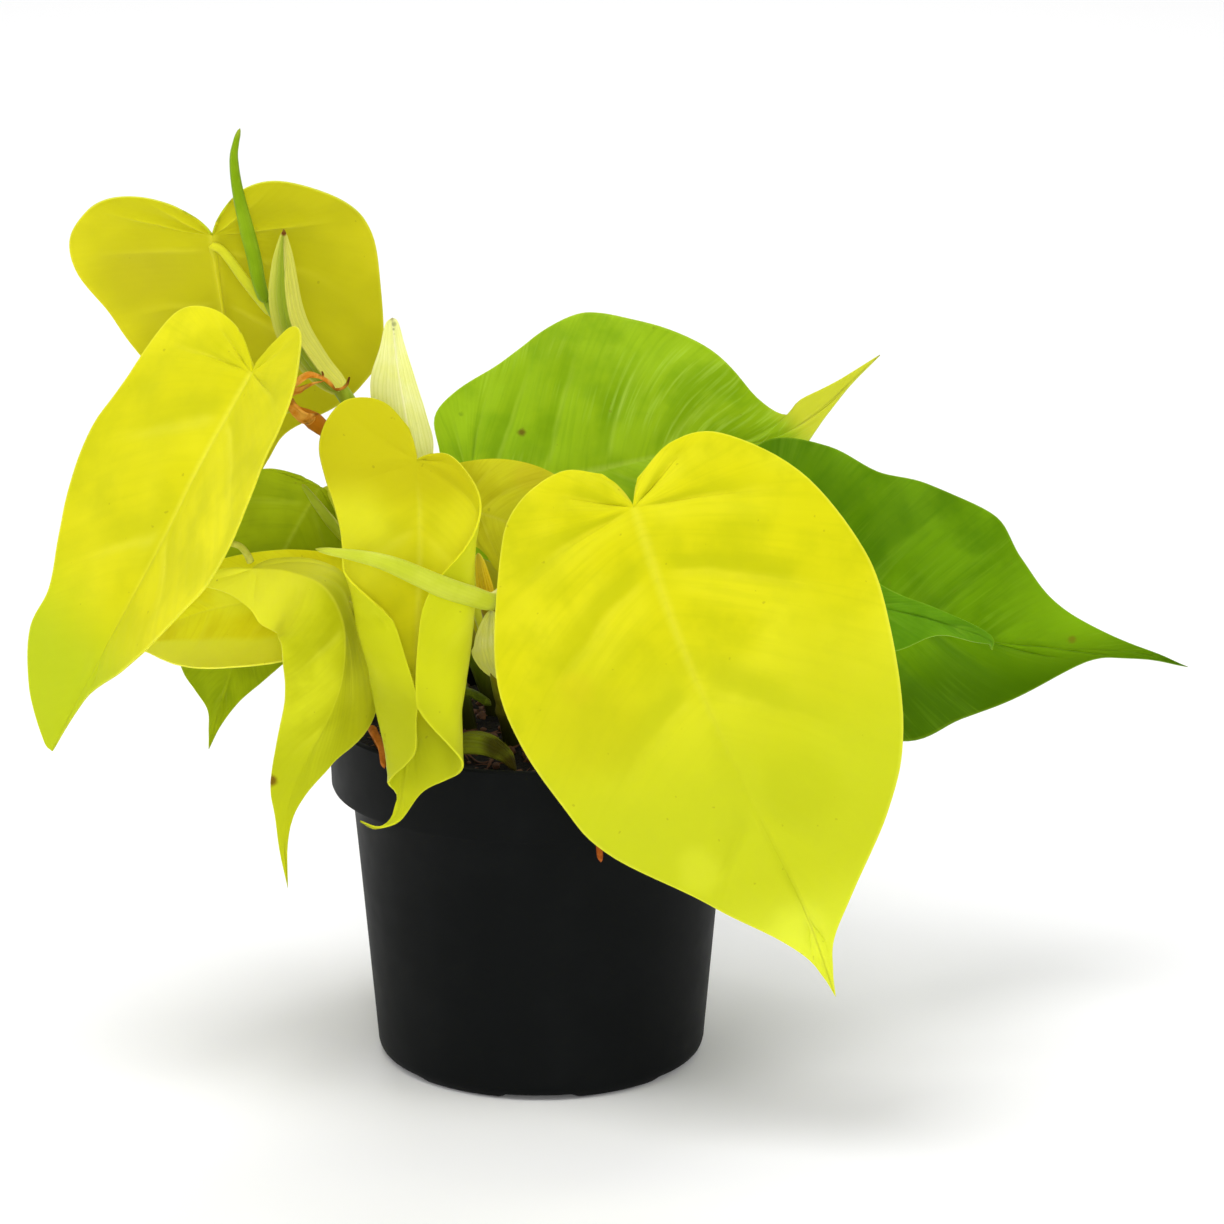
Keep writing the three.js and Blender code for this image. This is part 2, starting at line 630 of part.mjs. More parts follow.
// Rolled young leaves, scraps and roots: each is one or more tapering strands, joined.
const strands = {
  spear_top: {
    colour: colours.leafGreen,
    parts: [
      {
        path: [[-69.4, -0.9, 200.5], [-70.8, -3, 206], [-72, -2.6, 212.5], [-73.7, -2, 219.4], [-75.8, -2, 229.6],
          [-76.5, -2.5, 237.4], [-75.8, -3, 242], [-74.7, -3.5, 245.6]],
        radii: [1.5, 1.9, 2, 1.6, 1.2, 0.5],
      },
    ],
    stem: "stem_tall",
  },
  spear_side: {
    colour: colours.stemGreen,
    parts: [
      {
        path: [[-11, -36, 132], [-9, -48, 137], [-11, -60, 138], [-16, -67, 141.3], [-23.1, -71.5, 145],
          [-37.4, -74, 152], [-53.4, -71, 154.4]],
        radii: [1.5, 1.8, 2.1, 2.7, 2.9, 2.5, 1.6, 0.6],
      },
    ],
    stem: "stem_middle",
  },
  spear_small: {
    colour: colours.stemGreen,
    parts: [
      {
        path: [[-49.5, -8.5, 140], [-52.6, -8.5, 144], [-56.5, -7.5, 149], [-60.3, -6, 154]],
        radii: [1, 1.4, 1.1, 0.4],
      },
    ],
    stem: "stem_low",
  },
  shoot_hook: {
    colour: colours.stemGreen,
    parts: [
      {
        path: [[-71.3, -39.2, 142.2], [-72.4, -38.5, 144.4], [-74.2, -38, 146.3], [-76.6, -38, 146.9],
          [-78.7, -38, 145.6]],
        radii: [1, 0.9, 0.8, 0.4],
      },
    ],
  },
  sheath_dried: {
    colour: colours.driedBrown,
    parts: [
      {
        path: [[-57, -15, 172.5], [-59.2, -18.2, 174.6], [-61.5, -19.2, 177.4], [-62.6, -19.4, 180]],
        radii: [1.6, 1.7, 1.4, 1.1],
      },
      {
        path: [[-62.5, -18.5, 179], [-62.2, -20, 181.5], [-60.5, -20.2, 184], [-58.2, -19.5, 185.6],
          [-56, -18.6, 185.6], [-54, -18, 184.6], [-52, -17, 182.7], [-49.4, -16.4, 181.6],
          [-48, -16, 182.7], [-47.3, -16, 184.8]],
        radii: [0.9, 1.2, 1.3, 1, 0.5, 0.45, 0.4],
      },
      {
        path: [[-62.6, -19.8, 180], [-60.9, -20, 178.2], [-59.4, -19.6, 176.4], [-57.3, -18.6, 175.4],
          [-55.2, -17.4, 175.4]],
        radii: [0.8, 0.6, 0.4],
      },
    ],
    stem: "stem_left",
  },
  shoot_stub: {
    colour: colours.stemGreen,
    parts: [
      {
        path: [[-28, -26, 84], [-27, -27, 98], [-23, -28, 105.5], [-17, -28, 105], [-11.8, -29, 102.2]],
        radii: [1.2, 1.2, 1.3, 1],
      },
    ],
  },
  root_left: {
    colour: colours.driedBrown,
    parts: [
      {
        path: [[-38, -22, 84], [-41, -26.5, 92], [-42.2, -31.5, 96.6], [-40.8, -36.5, 96.2],
          [-39.3, -40.9, 93.6], [-38.6, -42.4, 89.5]],
        radii: [1.1, 1.1, 1, 0.8],
      },
    ],
  },
  root_front: {
    colour: colours.driedBrown,
    parts: [
      {
        path: [[10, -44, 84], [12, -49, 93], [13, -53.2, 94.8], [14, -56, 90], [14.8, -56.4, 80],
          [16, -56.8, 69.5]],
        radii: [1, 1, 1, 0.8],
      },
    ],
  },
};

function strandGeometry(strand) {
  const strings = strand.parts.map(({ path, radii }) =>
    solidOf(loft(path, radii, { sides: 6, steps: 2 * path.length - 2 })),
  );
  const seat = strand.stem ? solidOf(stemTube(strand.stem, seatGap)) : soilRaised;
  return geometryOf(mainBody(strings.reduce((whole, next) => whole.add(next)).subtract(seat)));
}

// The pot is one turned shell. Its foot ring is notched, and holes drain its raised floor.
function potGeometry() {
  const p = pot;
  const collarFoot = p.height - p.collarHeight;
  const profile = [
    [0, 0],
    [p.padRadius, 0],
    [p.padRadius + 1.5, p.footRise],
    [p.footInner - 1, p.footRise],
    [p.footInner, 0],
    [p.footOuter, 0],
    [p.bodyFootRadius - 1, 1.6],
    [p.bodyFootRadius, p.cornerHeight],
    [p.bodyTopRadius, collarFoot - 1],
    [p.rimRadius - p.collarTaper - 0.8, collarFoot],
    [p.rimRadius - p.collarTaper, collarFoot + 1],
    [p.rimRadius, p.height - 0.8],
    [p.rimRadius - 0.4, p.height],
    [p.rimRadius - p.wall, p.height],
    [p.rimRadius - p.collarTaper - p.wall, collarFoot + 3],
    [p.bodyTopRadius - p.wall, collarFoot + 0.5],
    [p.bodyFootRadius - p.wall, p.cornerHeight + 1],
    [p.bodyFootRadius - p.wall - 2, p.footRise + p.floor],
    [0, p.footRise + p.floor],
  ].map(([radius, height]) => new THREE.Vector2(radius, height));
  let shell = solidOf(new THREE.LatheGeometry(profile, p.sides).rotateX(Math.PI / 2));
  const ring = (count, make) => {
    for (let i = 0; i < count; i++) shell = shell.subtract(solidOf(make((2 * Math.PI * i) / count)));
  };
  const around = (geometry, radius, turn) =>
    geometry.translate(0, -radius, 0).rotateZ(turn);
  ring(p.drainCount, (turn) => {
    const drain = new THREE.CylinderGeometry(p.drainRadius, p.drainRadius, 12, 10);
    return around(drain.rotateX(Math.PI / 2), p.drainCircle, turn);
  });
  ring(p.notchCount, (turn) => {
    const notch = new THREE.BoxGeometry(p.notchWidth, 10, 2 * p.footRise);
    return around(notch, p.footOuter, turn);
  });
  return geometryOf(shell);
}

// Peat: a moulded plug that fills the pot, with a lumpy top and a plain hole for each stem.
function soilSolid() {
  const collarFoot = pot.height - pot.collarHeight;
  const profile = [
    [0, pot.footRise + pot.floor + seatGap],
    [pot.bodyFootRadius - pot.wall - 2.6, pot.footRise + pot.floor + seatGap],
    [pot.bodyFootRadius - pot.wall - seatGap, pot.cornerHeight + 1.4],
    [pot.bodyTopRadius - pot.wall - seatGap, collarFoot],
    [pot.bodyTopRadius - pot.wall - seatGap, soil.top - 2],
  ];
  const edge = profile.at(-1)[0];
  for (let ring = soil.rings; ring >= 0; ring--) profile.push([(edge * ring) / (soil.rings + 1), soil.top]);
  const plug = new THREE.LatheGeometry(
    profile.map(([radius, height]) => new THREE.Vector2(radius, height)),
    pot.sides,
  ).rotateX(Math.PI / 2);
  const place = plug.attributes.position;
  for (let i = 0; i < place.count; i++) {
    const [x, y, z] = [place.getX(i), place.getY(i), place.getZ(i)];
    if (z < soil.top - 0.5) continue;
    const mound = soil.mound * (1 - (x * x + y * y) / (edge * edge));
    const grain = Math.sin(0.31 * x + 1.3) * Math.cos(0.27 * y) + 0.6 * Math.sin(0.7 * x - 0.5 * y);
    place.setZ(i, z + mound + soil.grain * grain);
  }
  let solid = solidOf(plug);
  for (const name of Object.keys(stems)) solid = solid.subtract(solidOf(stemTube(name, seatGap)));
  return solid;
}

const soilPlug = soilSolid();
const soilRaised = soilPlug.translate([0, 0, seatGap]);

const plant = new THREE.Group();

function add(name, geometry, colour, roughness = 0.5) {
  const material = new THREE.MeshStandardMaterial({ color: colour, roughness, metalness: 0 });
  const mesh = new THREE.Mesh(geometry, material);
  mesh.name = name;
  plant.add(mesh);
}

add("pot", potGeometry(), colours.potBlack, 0.55);
add("soil", geometryOf(soilPlug), colours.peat, 0.95);
for (const name of Object.keys(stems)) add(name, stemTube(name), colours.stemGreen);
for (const [name, leaf] of Object.entries(leaves)) add(name, leafGeometry(leaf), leaf.colour);
for (const [name, bract] of Object.entries(bracts)) add(name, bractGeometry(bract), bract.colour, 0.6);
for (const [name, strand] of Object.entries(strands)) add(name, strandGeometry(strand), strand.colour, 0.6);

export default plant;
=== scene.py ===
import bisect
import math
import random

import bpy
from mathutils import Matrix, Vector, noise


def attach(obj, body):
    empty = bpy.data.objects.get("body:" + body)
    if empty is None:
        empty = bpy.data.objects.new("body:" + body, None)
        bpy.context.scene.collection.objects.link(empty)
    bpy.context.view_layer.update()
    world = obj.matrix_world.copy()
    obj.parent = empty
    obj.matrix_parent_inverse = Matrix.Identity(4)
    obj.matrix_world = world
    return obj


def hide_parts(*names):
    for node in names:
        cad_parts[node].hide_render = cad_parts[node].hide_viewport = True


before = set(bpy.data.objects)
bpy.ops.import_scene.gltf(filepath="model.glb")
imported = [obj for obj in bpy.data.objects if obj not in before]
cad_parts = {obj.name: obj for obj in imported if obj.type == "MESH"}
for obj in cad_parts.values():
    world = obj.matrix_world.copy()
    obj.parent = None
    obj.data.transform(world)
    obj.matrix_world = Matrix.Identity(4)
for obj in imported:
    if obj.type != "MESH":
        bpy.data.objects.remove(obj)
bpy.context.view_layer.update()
mm = 0.001  # every size below is in millimetres, in the frame of the CAD
print("frame loaded,", len(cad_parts), "nodes")


# small helpers

def deselect():
    if bpy.context.object and bpy.context.object.mode != "OBJECT":
        bpy.ops.object.mode_set(mode="OBJECT")
    bpy.ops.object.select_all(action="DESELECT")


def makeActive(piece):
    deselect()
    piece.select_set(True)
    bpy.context.view_layer.objects.active = piece


def editAll(piece):  # edit mode, with the whole mesh selected
    makeActive(piece)
    bpy.ops.object.mode_set(mode="EDIT")
    bpy.ops.mesh.select_all(action="SELECT")


def stopEdit():
    bpy.ops.object.mode_set(mode="OBJECT")


def faceOutwards(piece):
    editAll(piece)
    bpy.ops.mesh.normals_make_consistent(inside=False)
    stopEdit()


def tint(red, green, blue):  # a colour as the eye reads it, 0 to 255, for the shader
    def linear(part):
        part = part / 255
        return part / 12.92 if part <= 0.04045 else ((part + 0.055) / 1.055) ** 2.4

    return (linear(red), linear(green), linear(blue), 1)


def clamp(value, low=0.0, high=1.0):
    return min(max(value, low), high)


def lerp(first, second, share):
    return first + (second - first) * share


def smoothStep(low, high, value):
    share = clamp((value - low) / (high - low))
    return share * share * (3 - 2 * share)


def along(stations, share):  # evenly spaced values, joined by straight lines
    place = clamp(share) * (len(stations) - 1)
    index = min(int(place), max(len(stations) - 2, 0))
    following = stations[min(index + 1, len(stations) - 1)]
    return stations[index] + (following - stations[index]) * (place - index)


def splineAt(points, share):  # a smooth curve through the points
    last = len(points) - 1
    place = clamp(share) * last
    index = min(int(place), last - 1)
    t = place - index
    here, following = points[index], points[index + 1]
    before = points[index - 1] if index else here * 2 - following
    after = points[index + 2] if index + 2 <= last else following * 2 - here
    leave = (following - before) / 2
    arrive = (after - here) / 2
    turn = here * 2 - following * 2 + leave + arrive
    curl = following * 3 - here * 3 - leave * 2 - arrive
    return ((turn * t + curl) * t + leave) * t + here


class Rail:  # a curve in space that is read by its share of length
    def __init__(self, points, steps=200):
        knots = [Vector(point) * mm for point in points]
        self.places = [splineAt(knots, step / steps) for step in range(steps + 1)]
        self.lengths = [0.0]
        for start, end in zip(self.places, self.places[1:]):
            self.lengths.append(self.lengths[-1] + (end - start).length)
        self.length = self.lengths[-1]

    def at(self, share):
        goal = clamp(share) * self.length
        index = clamp(bisect.bisect_right(self.lengths, goal) - 1, 0, len(self.places) - 2)
        span = self.lengths[index + 1] - self.lengths[index]
        return self.places[index].lerp(self.places[index + 1], (goal - self.lengths[index]) / span)

    def ahead(self, share, reach=0.012):
        return (self.at(share + reach) - self.at(share - reach)).normalized()


# shader helpers

class Wire:  # a socket that can be used in a sum
    def __init__(self, skin, socket):
        self.skin = skin
        self.socket = socket

    def __add__(self, other):
        return self.skin.maths("ADD", self, other)

    def __sub__(self, other):
        return self.skin.maths("SUBTRACT", self, other)

    def __rsub__(self, other):
        return self.skin.maths("SUBTRACT", other, self)

    def __mul__(self, other):
        return self.skin.maths("MULTIPLY", self, other)

    def __pow__(self, other):
        return self.skin.maths("POWER", self, other)

    __radd__ = __add__
    __rmul__ = __mul__


class Skin:  # one material and its nodes
    def __init__(self, name):
        self.material = bpy.data.materials.new(name)
        self.material.use_nodes = True
        self.tree = self.material.node_tree
        self.shader = self.tree.nodes["Principled BSDF"]
        self.place = self.node("TexCoord", output="Object")

    def node(self, kind, settings=None, inputs=None, output=0):
        made = self.tree.nodes.new("ShaderNode" + kind)
        for key, value in (settings or {}).items():
            setattr(made, key, value)
        for key, value in (inputs or {}).items():
            if isinstance(value, Wire):
                self.tree.links.new(value.socket, made.inputs[key])
            else:
                made.inputs[key].default_value = value
        return Wire(self, made.outputs[output])

    def maths(self, operation, first, second=0.0):
        return self.node("Math", {"operation": operation}, {0: first, 1: second})

    def vectors(self, operation, first, second, output=0):
        return self.node("VectorMath", {"operation": operation}, {0: first, 1: second}, output)

    def mix(self, share, first, second):
        return self.node("Mix", {"data_type": "RGBA"}, {0: share, 6: first, 7: second}, output=2)

    def smooth(self, value, low, high):
        return self.node("MapRange", {"interpolation_type": "SMOOTHSTEP"}, {0: value, 1: low, 2: high})

    def cloud(self, scale, detail=3.0, place=None, stretch=None, distortion=0.0):
        where = place or self.place
        if stretch:
            where = self.node("Mapping", inputs={"Vector": where, "Scale": stretch})
        values = {"Vector": where, "Scale": scale, "Detail": detail, "Distortion": distortion}
        return self.node("TexNoise", inputs=values)

    def uv(self, axis):
        sheet = self.node("TexCoord", output="UV")
        return self.node("SeparateXYZ", inputs={0: sheet}, output=axis)

    def nearness(self, point, radius, ragged=0.3):  # 1 at the point, 0 past the radius
        centre = tuple(part * mm for part in point)
        away = self.vectors("DISTANCE", self.place, centre, "Value")
        rough = (self.cloud(900 / radius, 2) - 0.5) * (2 * ragged * radius * mm)
        return 1 - self.smooth(away + rough, 0.35 * radius * mm, radius * mm)

    def between(self, start, end):  # 0 at the start, 1 at the end, along the line that joins them
        first = Vector(start) * mm
        step = Vector(end) * mm - first
        run = self.vectors("SUBTRACT", self.place, tuple(first))
        share = self.vectors("DOT_PRODUCT", run, tuple(step / step.length_squared), "Value")
        return self.smooth(share, 0.0, 1.0)

    def spots(self, colour, marks):  # each mark: its place, radius, colour and strength
        for point, radius, mark, strength in marks:
            colour = self.mix(self.nearness(point, radius) * strength, colour, mark)
        return colour

    def finish(self, colour, roughness=None, bumps=(), **constants):
        self.tree.links.new(colour.socket, self.shader.inputs["Base Color"])
        if isinstance(roughness, Wire):
            self.tree.links.new(roughness.socket, self.shader.inputs["Roughness"])
        elif roughness is not None:
            self.shader.inputs["Roughness"].default_value = roughness
        normal = None
        for height, strength, depth in bumps:
            inputs = {"Height": height, "Strength": strength, "Distance": depth * mm}
            if normal:
                inputs["Normal"] = normal
            normal = self.node("Bump", inputs=inputs)
        if normal:
            self.tree.links.new(normal.socket, self.shader.inputs["Normal"])
        for key, value in constants.items():
            self.shader.inputs[key].default_value = value
        return self.material


def gloss(level, tone):
    return {"Specular IOR Level": level, "Specular Tint": tone}


def glow(weight, blue):  # light passes through thin leaf, and least of all blue light
    return {
        "Subsurface Weight": weight,
        "Subsurface Radius": (1, 1, blue),
        "Subsurface Scale": mm,
    }


# sheets and tubes: a grid is bent into shape, so its own map follows the surface

def makeSheet(name, columns, rows, place):
    deselect()
    bpy.ops.mesh.primitive_grid_add(x_subdivisions=columns, y_subdivisions=rows, size=1)
    sheet = bpy.context.object
    sheet.name = name
    for vertex in sheet.data.vertices:
        vertex.co = place(vertex.co.x + 0.5, vertex.co.y + 0.5)
    editAll(sheet)
    bpy.ops.mesh.remove_doubles(threshold=0.01 * mm)
    stopEdit()
    return sheet


def makeTube(name, path, radii, columns=16, rows=40, section=None):
    rail = Rail(path)
    frames = []
    sideways = rail.ahead(0).orthogonal().normalized()
    for row in range(rows + 1):
        ahead = rail.ahead(row / rows)
        sideways = (sideways - ahead * sideways.dot(ahead)).normalized()
        frames.append((rail.at(row / rows), sideways.copy(), ahead.cross(sideways)))

    def place(turn, share):
        centre, right, up = frames[round(share * rows)]
        angle = 2 * math.pi * turn
        radius = along(radii, share) * mm
        radius *= math.sqrt(clamp(share * 24) * clamp((1 - share) * 24))  # rounds the ends
        if section:
            angle, grow = section(turn, share)
            radius *= grow
        return centre + (right * math.cos(angle) + up * math.sin(angle)) * radius

    tube = makeSheet(name, columns, rows, place)
    if not section:
        faceOutwards(tube)
    return tube


def giveThickness(sheet, thickness, underSlot=0):
    makeActive(sheet)
    bpy.ops.object.modifier_add(type="SOLIDIFY")
    solidify = sheet.modifiers[-1]
    solidify.thickness = thickness * mm
    solidify.offset = 0
    solidify.material_offset = underSlot
    bpy.ops.object.modifier_apply(modifier=solidify.name)


def joinPieces(main, others):
    deselect()
    for other in others:
        other.select_set(True)
    main.select_set(True)
    bpy.context.view_layer.objects.active = main
    bpy.ops.object.join()
    return main


def settle(piece, node, sharpAngle=45):
    makeActive(piece)
    bpy.ops.object.transform_apply(location=True, rotation=True, scale=True)
    bpy.ops.object.shade_smooth_by_angle(angle=math.radians(sharpAngle))
    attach(piece, "root")
    if node:
        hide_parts(node)


# camera, light and floor

stage = {
    "target": (18.7, 0, 118.6),
    "distance": 1300,
    "pitch": 15.7,
    "lens": 148,
    "sensor": 36,
    "floorSize": 14000,
    "skyStrength": 0.5,
}

lamps = {
    "above": {"place": (-450, -800, 2200), "aim": (0, 0, 130), "size": 1100, "power": 20.5},
    "left": {"place": (-1500, -500, 700), "aim": (0, 0, 120), "size": 900, "power": 5},
    "right": {"place": (1500, -350, 700), "aim": (0, 0, 120), "size": 900, "power": 4},
    "front": {"place": (150, -2300, 650), "aim": (0, 0, 100), "size": 800, "power": 17},
    "behind": {"place": (0, 1700, 2200), "aim": (0, 1300, 0), "size": 1600, "power": 25},
}


def addCamera():
    deselect()
    pitch = math.radians(stage["pitch"])
    back = Vector((0, -math.cos(pitch), math.sin(pitch))) * stage["distance"]
    place = (Vector(stage["target"]) + back) * mm
    bpy.ops.object.camera_add(location=place, rotation=(math.pi / 2 - pitch, 0, 0))
    camera = bpy.context.object
    camera.data.lens = stage["lens"]
    camera.data.sensor_width = stage["sensor"]
    bpy.context.scene.camera = camera


def addLamp(lamp):
    deselect()
    place = Vector(lamp["place"]) * mm
    aim = Vector(lamp["aim"]) * mm - place
    turn = aim.to_track_quat("-Z", "Y").to_euler()
    bpy.ops.object.light_add(type="AREA", location=place, rotation=turn)
    light = bpy.context.object.data
    light.shape = "DISK"
    light.size = lamp["size"] * mm
    light.energy = lamp["power"]


def addFloor():
    deselect()
    bpy.ops.mesh.primitive_grid_add(x_subdivisions=4, y_subdivisions=4, size=stage["floorSize"] * mm)
    floor = bpy.context.object
    floor.name = "floor"
    skin = Skin("floor_pale")
    skin.finish(skin.mix(0.5, tint(247, 247, 247), tint(250, 250, 250)), 0.8)
    floor.data.materials.append(skin.material)


def addSky():
    world = bpy.data.worlds.new("soft_sky")
    world.use_nodes = True
    sky = world.node_tree.nodes["Background"]
    sky.inputs["Color"].default_value = (1, 1, 1, 1)
    sky.inputs["Strength"].default_value = stage["skyStrength"]
    bpy.context.scene.world = world


addCamera()
addFloor()
addSky()
for lamp in lamps.values():
    addLamp(lamp)
bpy.context.scene.view_settings.view_transform = "Standard"
print("camera, floor and light placed")


# pot: one moulding, drawn ring by ring from its underside

potShape = {
    "height": 92.5,
    "rimRadius": 55,
    "collarHeight": 19.5,
    "collarTaper": 0.7,
    "bodyTopRadius": 49,
    "bodyFootRadius": 43,
    "wall": 1.5,
    "floor": 1.6,
    "footRise": 1.5,
    "footInner": 35.5,
    "footOuter": 39.6,
    "cornerWidth": 3.4,
    "cornerHeight": 4.6,
    "cornerSteps": 8,
    "padRadius": 13,
    "notchCount": 6,
    "notchWidth": 17,
    "drainCount": 8,
    "drainRadius": 3.6,
    "drainCircle": 27,
    "drainSides": 32,
    "drainDepth": 12,
    "sides": 192,
    "black": tint(9, 11, 11),
    "dust": tint(18, 20, 20),
}


def potSkin():
    skin = Skin("pot_plastic")
    dusty = skin.smooth(skin.cloud(60, 5), 0.45, 0.75)
    streaks = skin.smooth(skin.cloud(90, 3, stretch=(1, 1, 0.04)), 0.4, 0.8)
    colour = skin.mix(dusty * 0.25 + streaks * 0.15, potShape["black"], potShape["dust"])
    roughness = 0.46 + skin.cloud(160, 4) * 0.14
    bumps = [(skin.cloud(2600, 2), 0.18, 0.05), (streaks, 0.05, 0.1)]
    return skin.finish(colour, roughness, bumps, **{"Specular IOR Level": 0.06})


def potProfile():
    p = potShape
    rim, top, wall = p["rimRadius"], p["height"], p["wall"]
    ledge = top - p["collarHeight"]
    skirt = rim - p["collarTaper"]
    rings = [
        (p["padRadius"], 0),
        (p["padRadius"] + 1.5, p["footRise"]),
        (p["footInner"] - 1, p["footRise"]),
        (p["footInner"], 0),
        (p["footOuter"], 0),
    ]
    for step in range(1, p["cornerSteps"] + 1):  # the rounded lower corner
        angle = math.pi / 2 * step / p["cornerSteps"]
        out = p["footOuter"] + p["cornerWidth"] * math.sin(angle)
        rings.append((out, p["cornerHeight"] * (1 - math.cos(angle))))
    for share in (0.33, 0.66):
        out = lerp(p["bodyFootRadius"], p["bodyTopRadius"], share)
        rings.append((out, lerp(p["cornerHeight"], ledge, share)))
    rings += [
        (p["bodyTopRadius"], ledge - 1),
        (p["bodyTopRadius"] + 0.4, ledge - 0.4),
        (skirt - 1.2, ledge),
        (skirt - 0.3, ledge + 0.3),
        (skirt, ledge + 1),
        (rim - 0.1, top - 1.2),
        (rim, top - 0.7),
        (rim - 0.2, top - 0.2),
        (rim - 0.6, top),
        (rim - wall + 0.3, top),
        (rim - wall, top - 0.4),
        (skirt - wall, ledge + 3),
        (p["bodyTopRadius"] - wall, ledge + 0.5),
        (p["bodyFootRadius"] - wall, p["cornerHeight"] + 1),
        (p["bodyFootRadius"] - wall - 2, p["footRise"] + p["floor"]),
        (2, p["footRise"] + p["floor"]),
    ]
    return rings


def raiseNotches(pot):
    p = potShape
    gap = 2 * math.pi / p["notchCount"]
    for vertex in pot.data.vertices:
        radius = math.hypot(vertex.co.x, vertex.co.y) / mm
        if vertex.co.z > 1.4 * mm or radius < p["footInner"] - 0.5:
            continue
        turn = (math.atan2(vertex.co.y, vertex.co.x) + math.pi / 2) % gap
        away = min(turn, gap - turn) * p["footOuter"]
        lift = 1 - smoothStep(p["notchWidth"] / 2 - 1, p["notchWidth"] / 2 + 1.4, away)
        vertex.co.z += lift * (p["footRise"] * mm - vertex.co.z) * 0.98


def drainCutter():
    p = potShape
    drains = []
    for index in range(p["drainCount"]):
        angle = 2 * math.pi * (index / p["drainCount"]) - math.pi / 2
        place = Vector((math.cos(angle), math.sin(angle), 0)) * p["drainCircle"] * mm
        deselect()
        size = {"radius": p["drainRadius"] * mm, "depth": p["drainDepth"] * mm}
        bpy.ops.mesh.primitive_cylinder_add(vertices=p["drainSides"], location=place, **size)
        drains.append(bpy.context.object)
    return joinPieces(drains[0], drains[1:])


def makePot():
    deselect()
    rings = potProfile()
    sides = potShape["sides"]
    bpy.ops.mesh.primitive_circle_add(vertices=sides, radius=rings[0][0] * mm, fill_type="NGON")
    pot = bpy.context.object
    pot.name = "pot_moulding"
    editAll(pot)
    bpy.ops.mesh.region_to_loop()
    for (wide, low), (nextWide, high) in zip(rings, rings[1:]):
        bpy.ops.mesh.extrude_edges_move(TRANSFORM_OT_translate={"value": (0, 0, (high - low) * mm)})
        grow = nextWide / wide
        bpy.ops.transform.resize(value=(grow, grow, 1), center_override=(0, 0, high * mm))
    bpy.ops.mesh.edge_face_add()
    stopEdit()
    faceOutwards(pot)
    raiseNotches(pot)
    cutter = drainCutter()
    makeActive(pot)
    bpy.ops.object.modifier_add(type="BOOLEAN")
    pot.modifiers[-1].object = cutter
    bpy.ops.object.modifier_apply(modifier=pot.modifiers[-1].name)
    bpy.data.objects.remove(cutter)
    pot.data.materials.append(potSkin())
    settle(pot, "pot", sharpAngle=32)


makePot()
print("pot made")


# peat: a plug with a lumpy, fibrous top

soilShape = {
    "top": 86,
    "mound": 2.4,
    "radius": 47.2,
    "footRadius": 38.9,
    "shoulderDrop": 12,
    "footDrop": 70,
    "lumps": [(1.5, 0.09), (0.7, 0.35), (0.45, 1.1)],  # how high, and how close together
    "cells": 150,
    "fibres": 150,
    "fibreStep": 2.4,
    "fibreTurn": 0.7,
    "fibreRadius": (0.16, 0.42),
    "crumbs": 240,
    "crumbRadius": (0.5, 1.5),
    "seed": 12,
    "dark": tint(7, 6, 4),
    "brown": tint(27, 19, 11),
    "fibre": tint(104, 58, 24),
}


def peatSkin():
    skin = Skin("peat")
    clods = skin.smooth(skin.cloud(210, 6), 0.42, 0.68)
    dust = skin.smooth(skin.cloud(1400, 5), 0.5, 0.72)
    colour = skin.mix(clods * 0.6 + dust * 0.4, soilShape["dark"], soilShape["brown"])
    bumps = [(clods, 0.6, 1.2), (dust, 0.6, 0.4)]
    return skin.finish(colour, 0.95, bumps, **{"Specular IOR Level": 0.2})


def fibreSkin():
    skin = Skin("peat_fibre")
    colour = skin.mix(skin.cloud(300, 4), soilShape["brown"], soilShape["fibre"])
    return skin.finish(colour, 0.85, [(skin.cloud(2400, 3), 0.4, 0.1)])


def soilHeight(x, y):
    s = soilShape
    place = Vector((x, y, 0))
    mound = s["mound"] * (1 - (x * x + y * y) / s["radius"] ** 2)
    lumps = sum(size * noise.noise(place * closeness) for size, closeness in s["lumps"])
    return s["top"] + mound + lumps


def makeSoil():
    s = soilShape

    def place(across, deep):
        x, y = 2 * across - 1, 2 * deep - 1
        far = max(abs(x), abs(y))
        stretch = far / math.hypot(x, y) if far else 0  # turns the square grid into a disc
        x, y = x * stretch * s["radius"], y * stretch * s["radius"]
        return Vector((x, y, soilHeight(x, y))) * mm

    plug = makeSheet("peat_plug", s["cells"], s["cells"], place)
    editAll(plug)
    bpy.ops.mesh.region_to_loop()
    for drop, grow in ((s["shoulderDrop"], 1.0), (s["footDrop"], s["footRadius"] / s["radius"])):
        bpy.ops.mesh.extrude_edges_move(TRANSFORM_OT_translate={"value": (0, 0, -drop * mm)})
        bpy.ops.transform.resize(value=(grow, grow, 1), center_override=(0, 0, 0))
    bpy.ops.mesh.edge_face_add()
    stopEdit()
    faceOutwards(plug)
    plug.data.materials.append(peatSkin())
    settle(plug, "soil", sharpAngle=80)


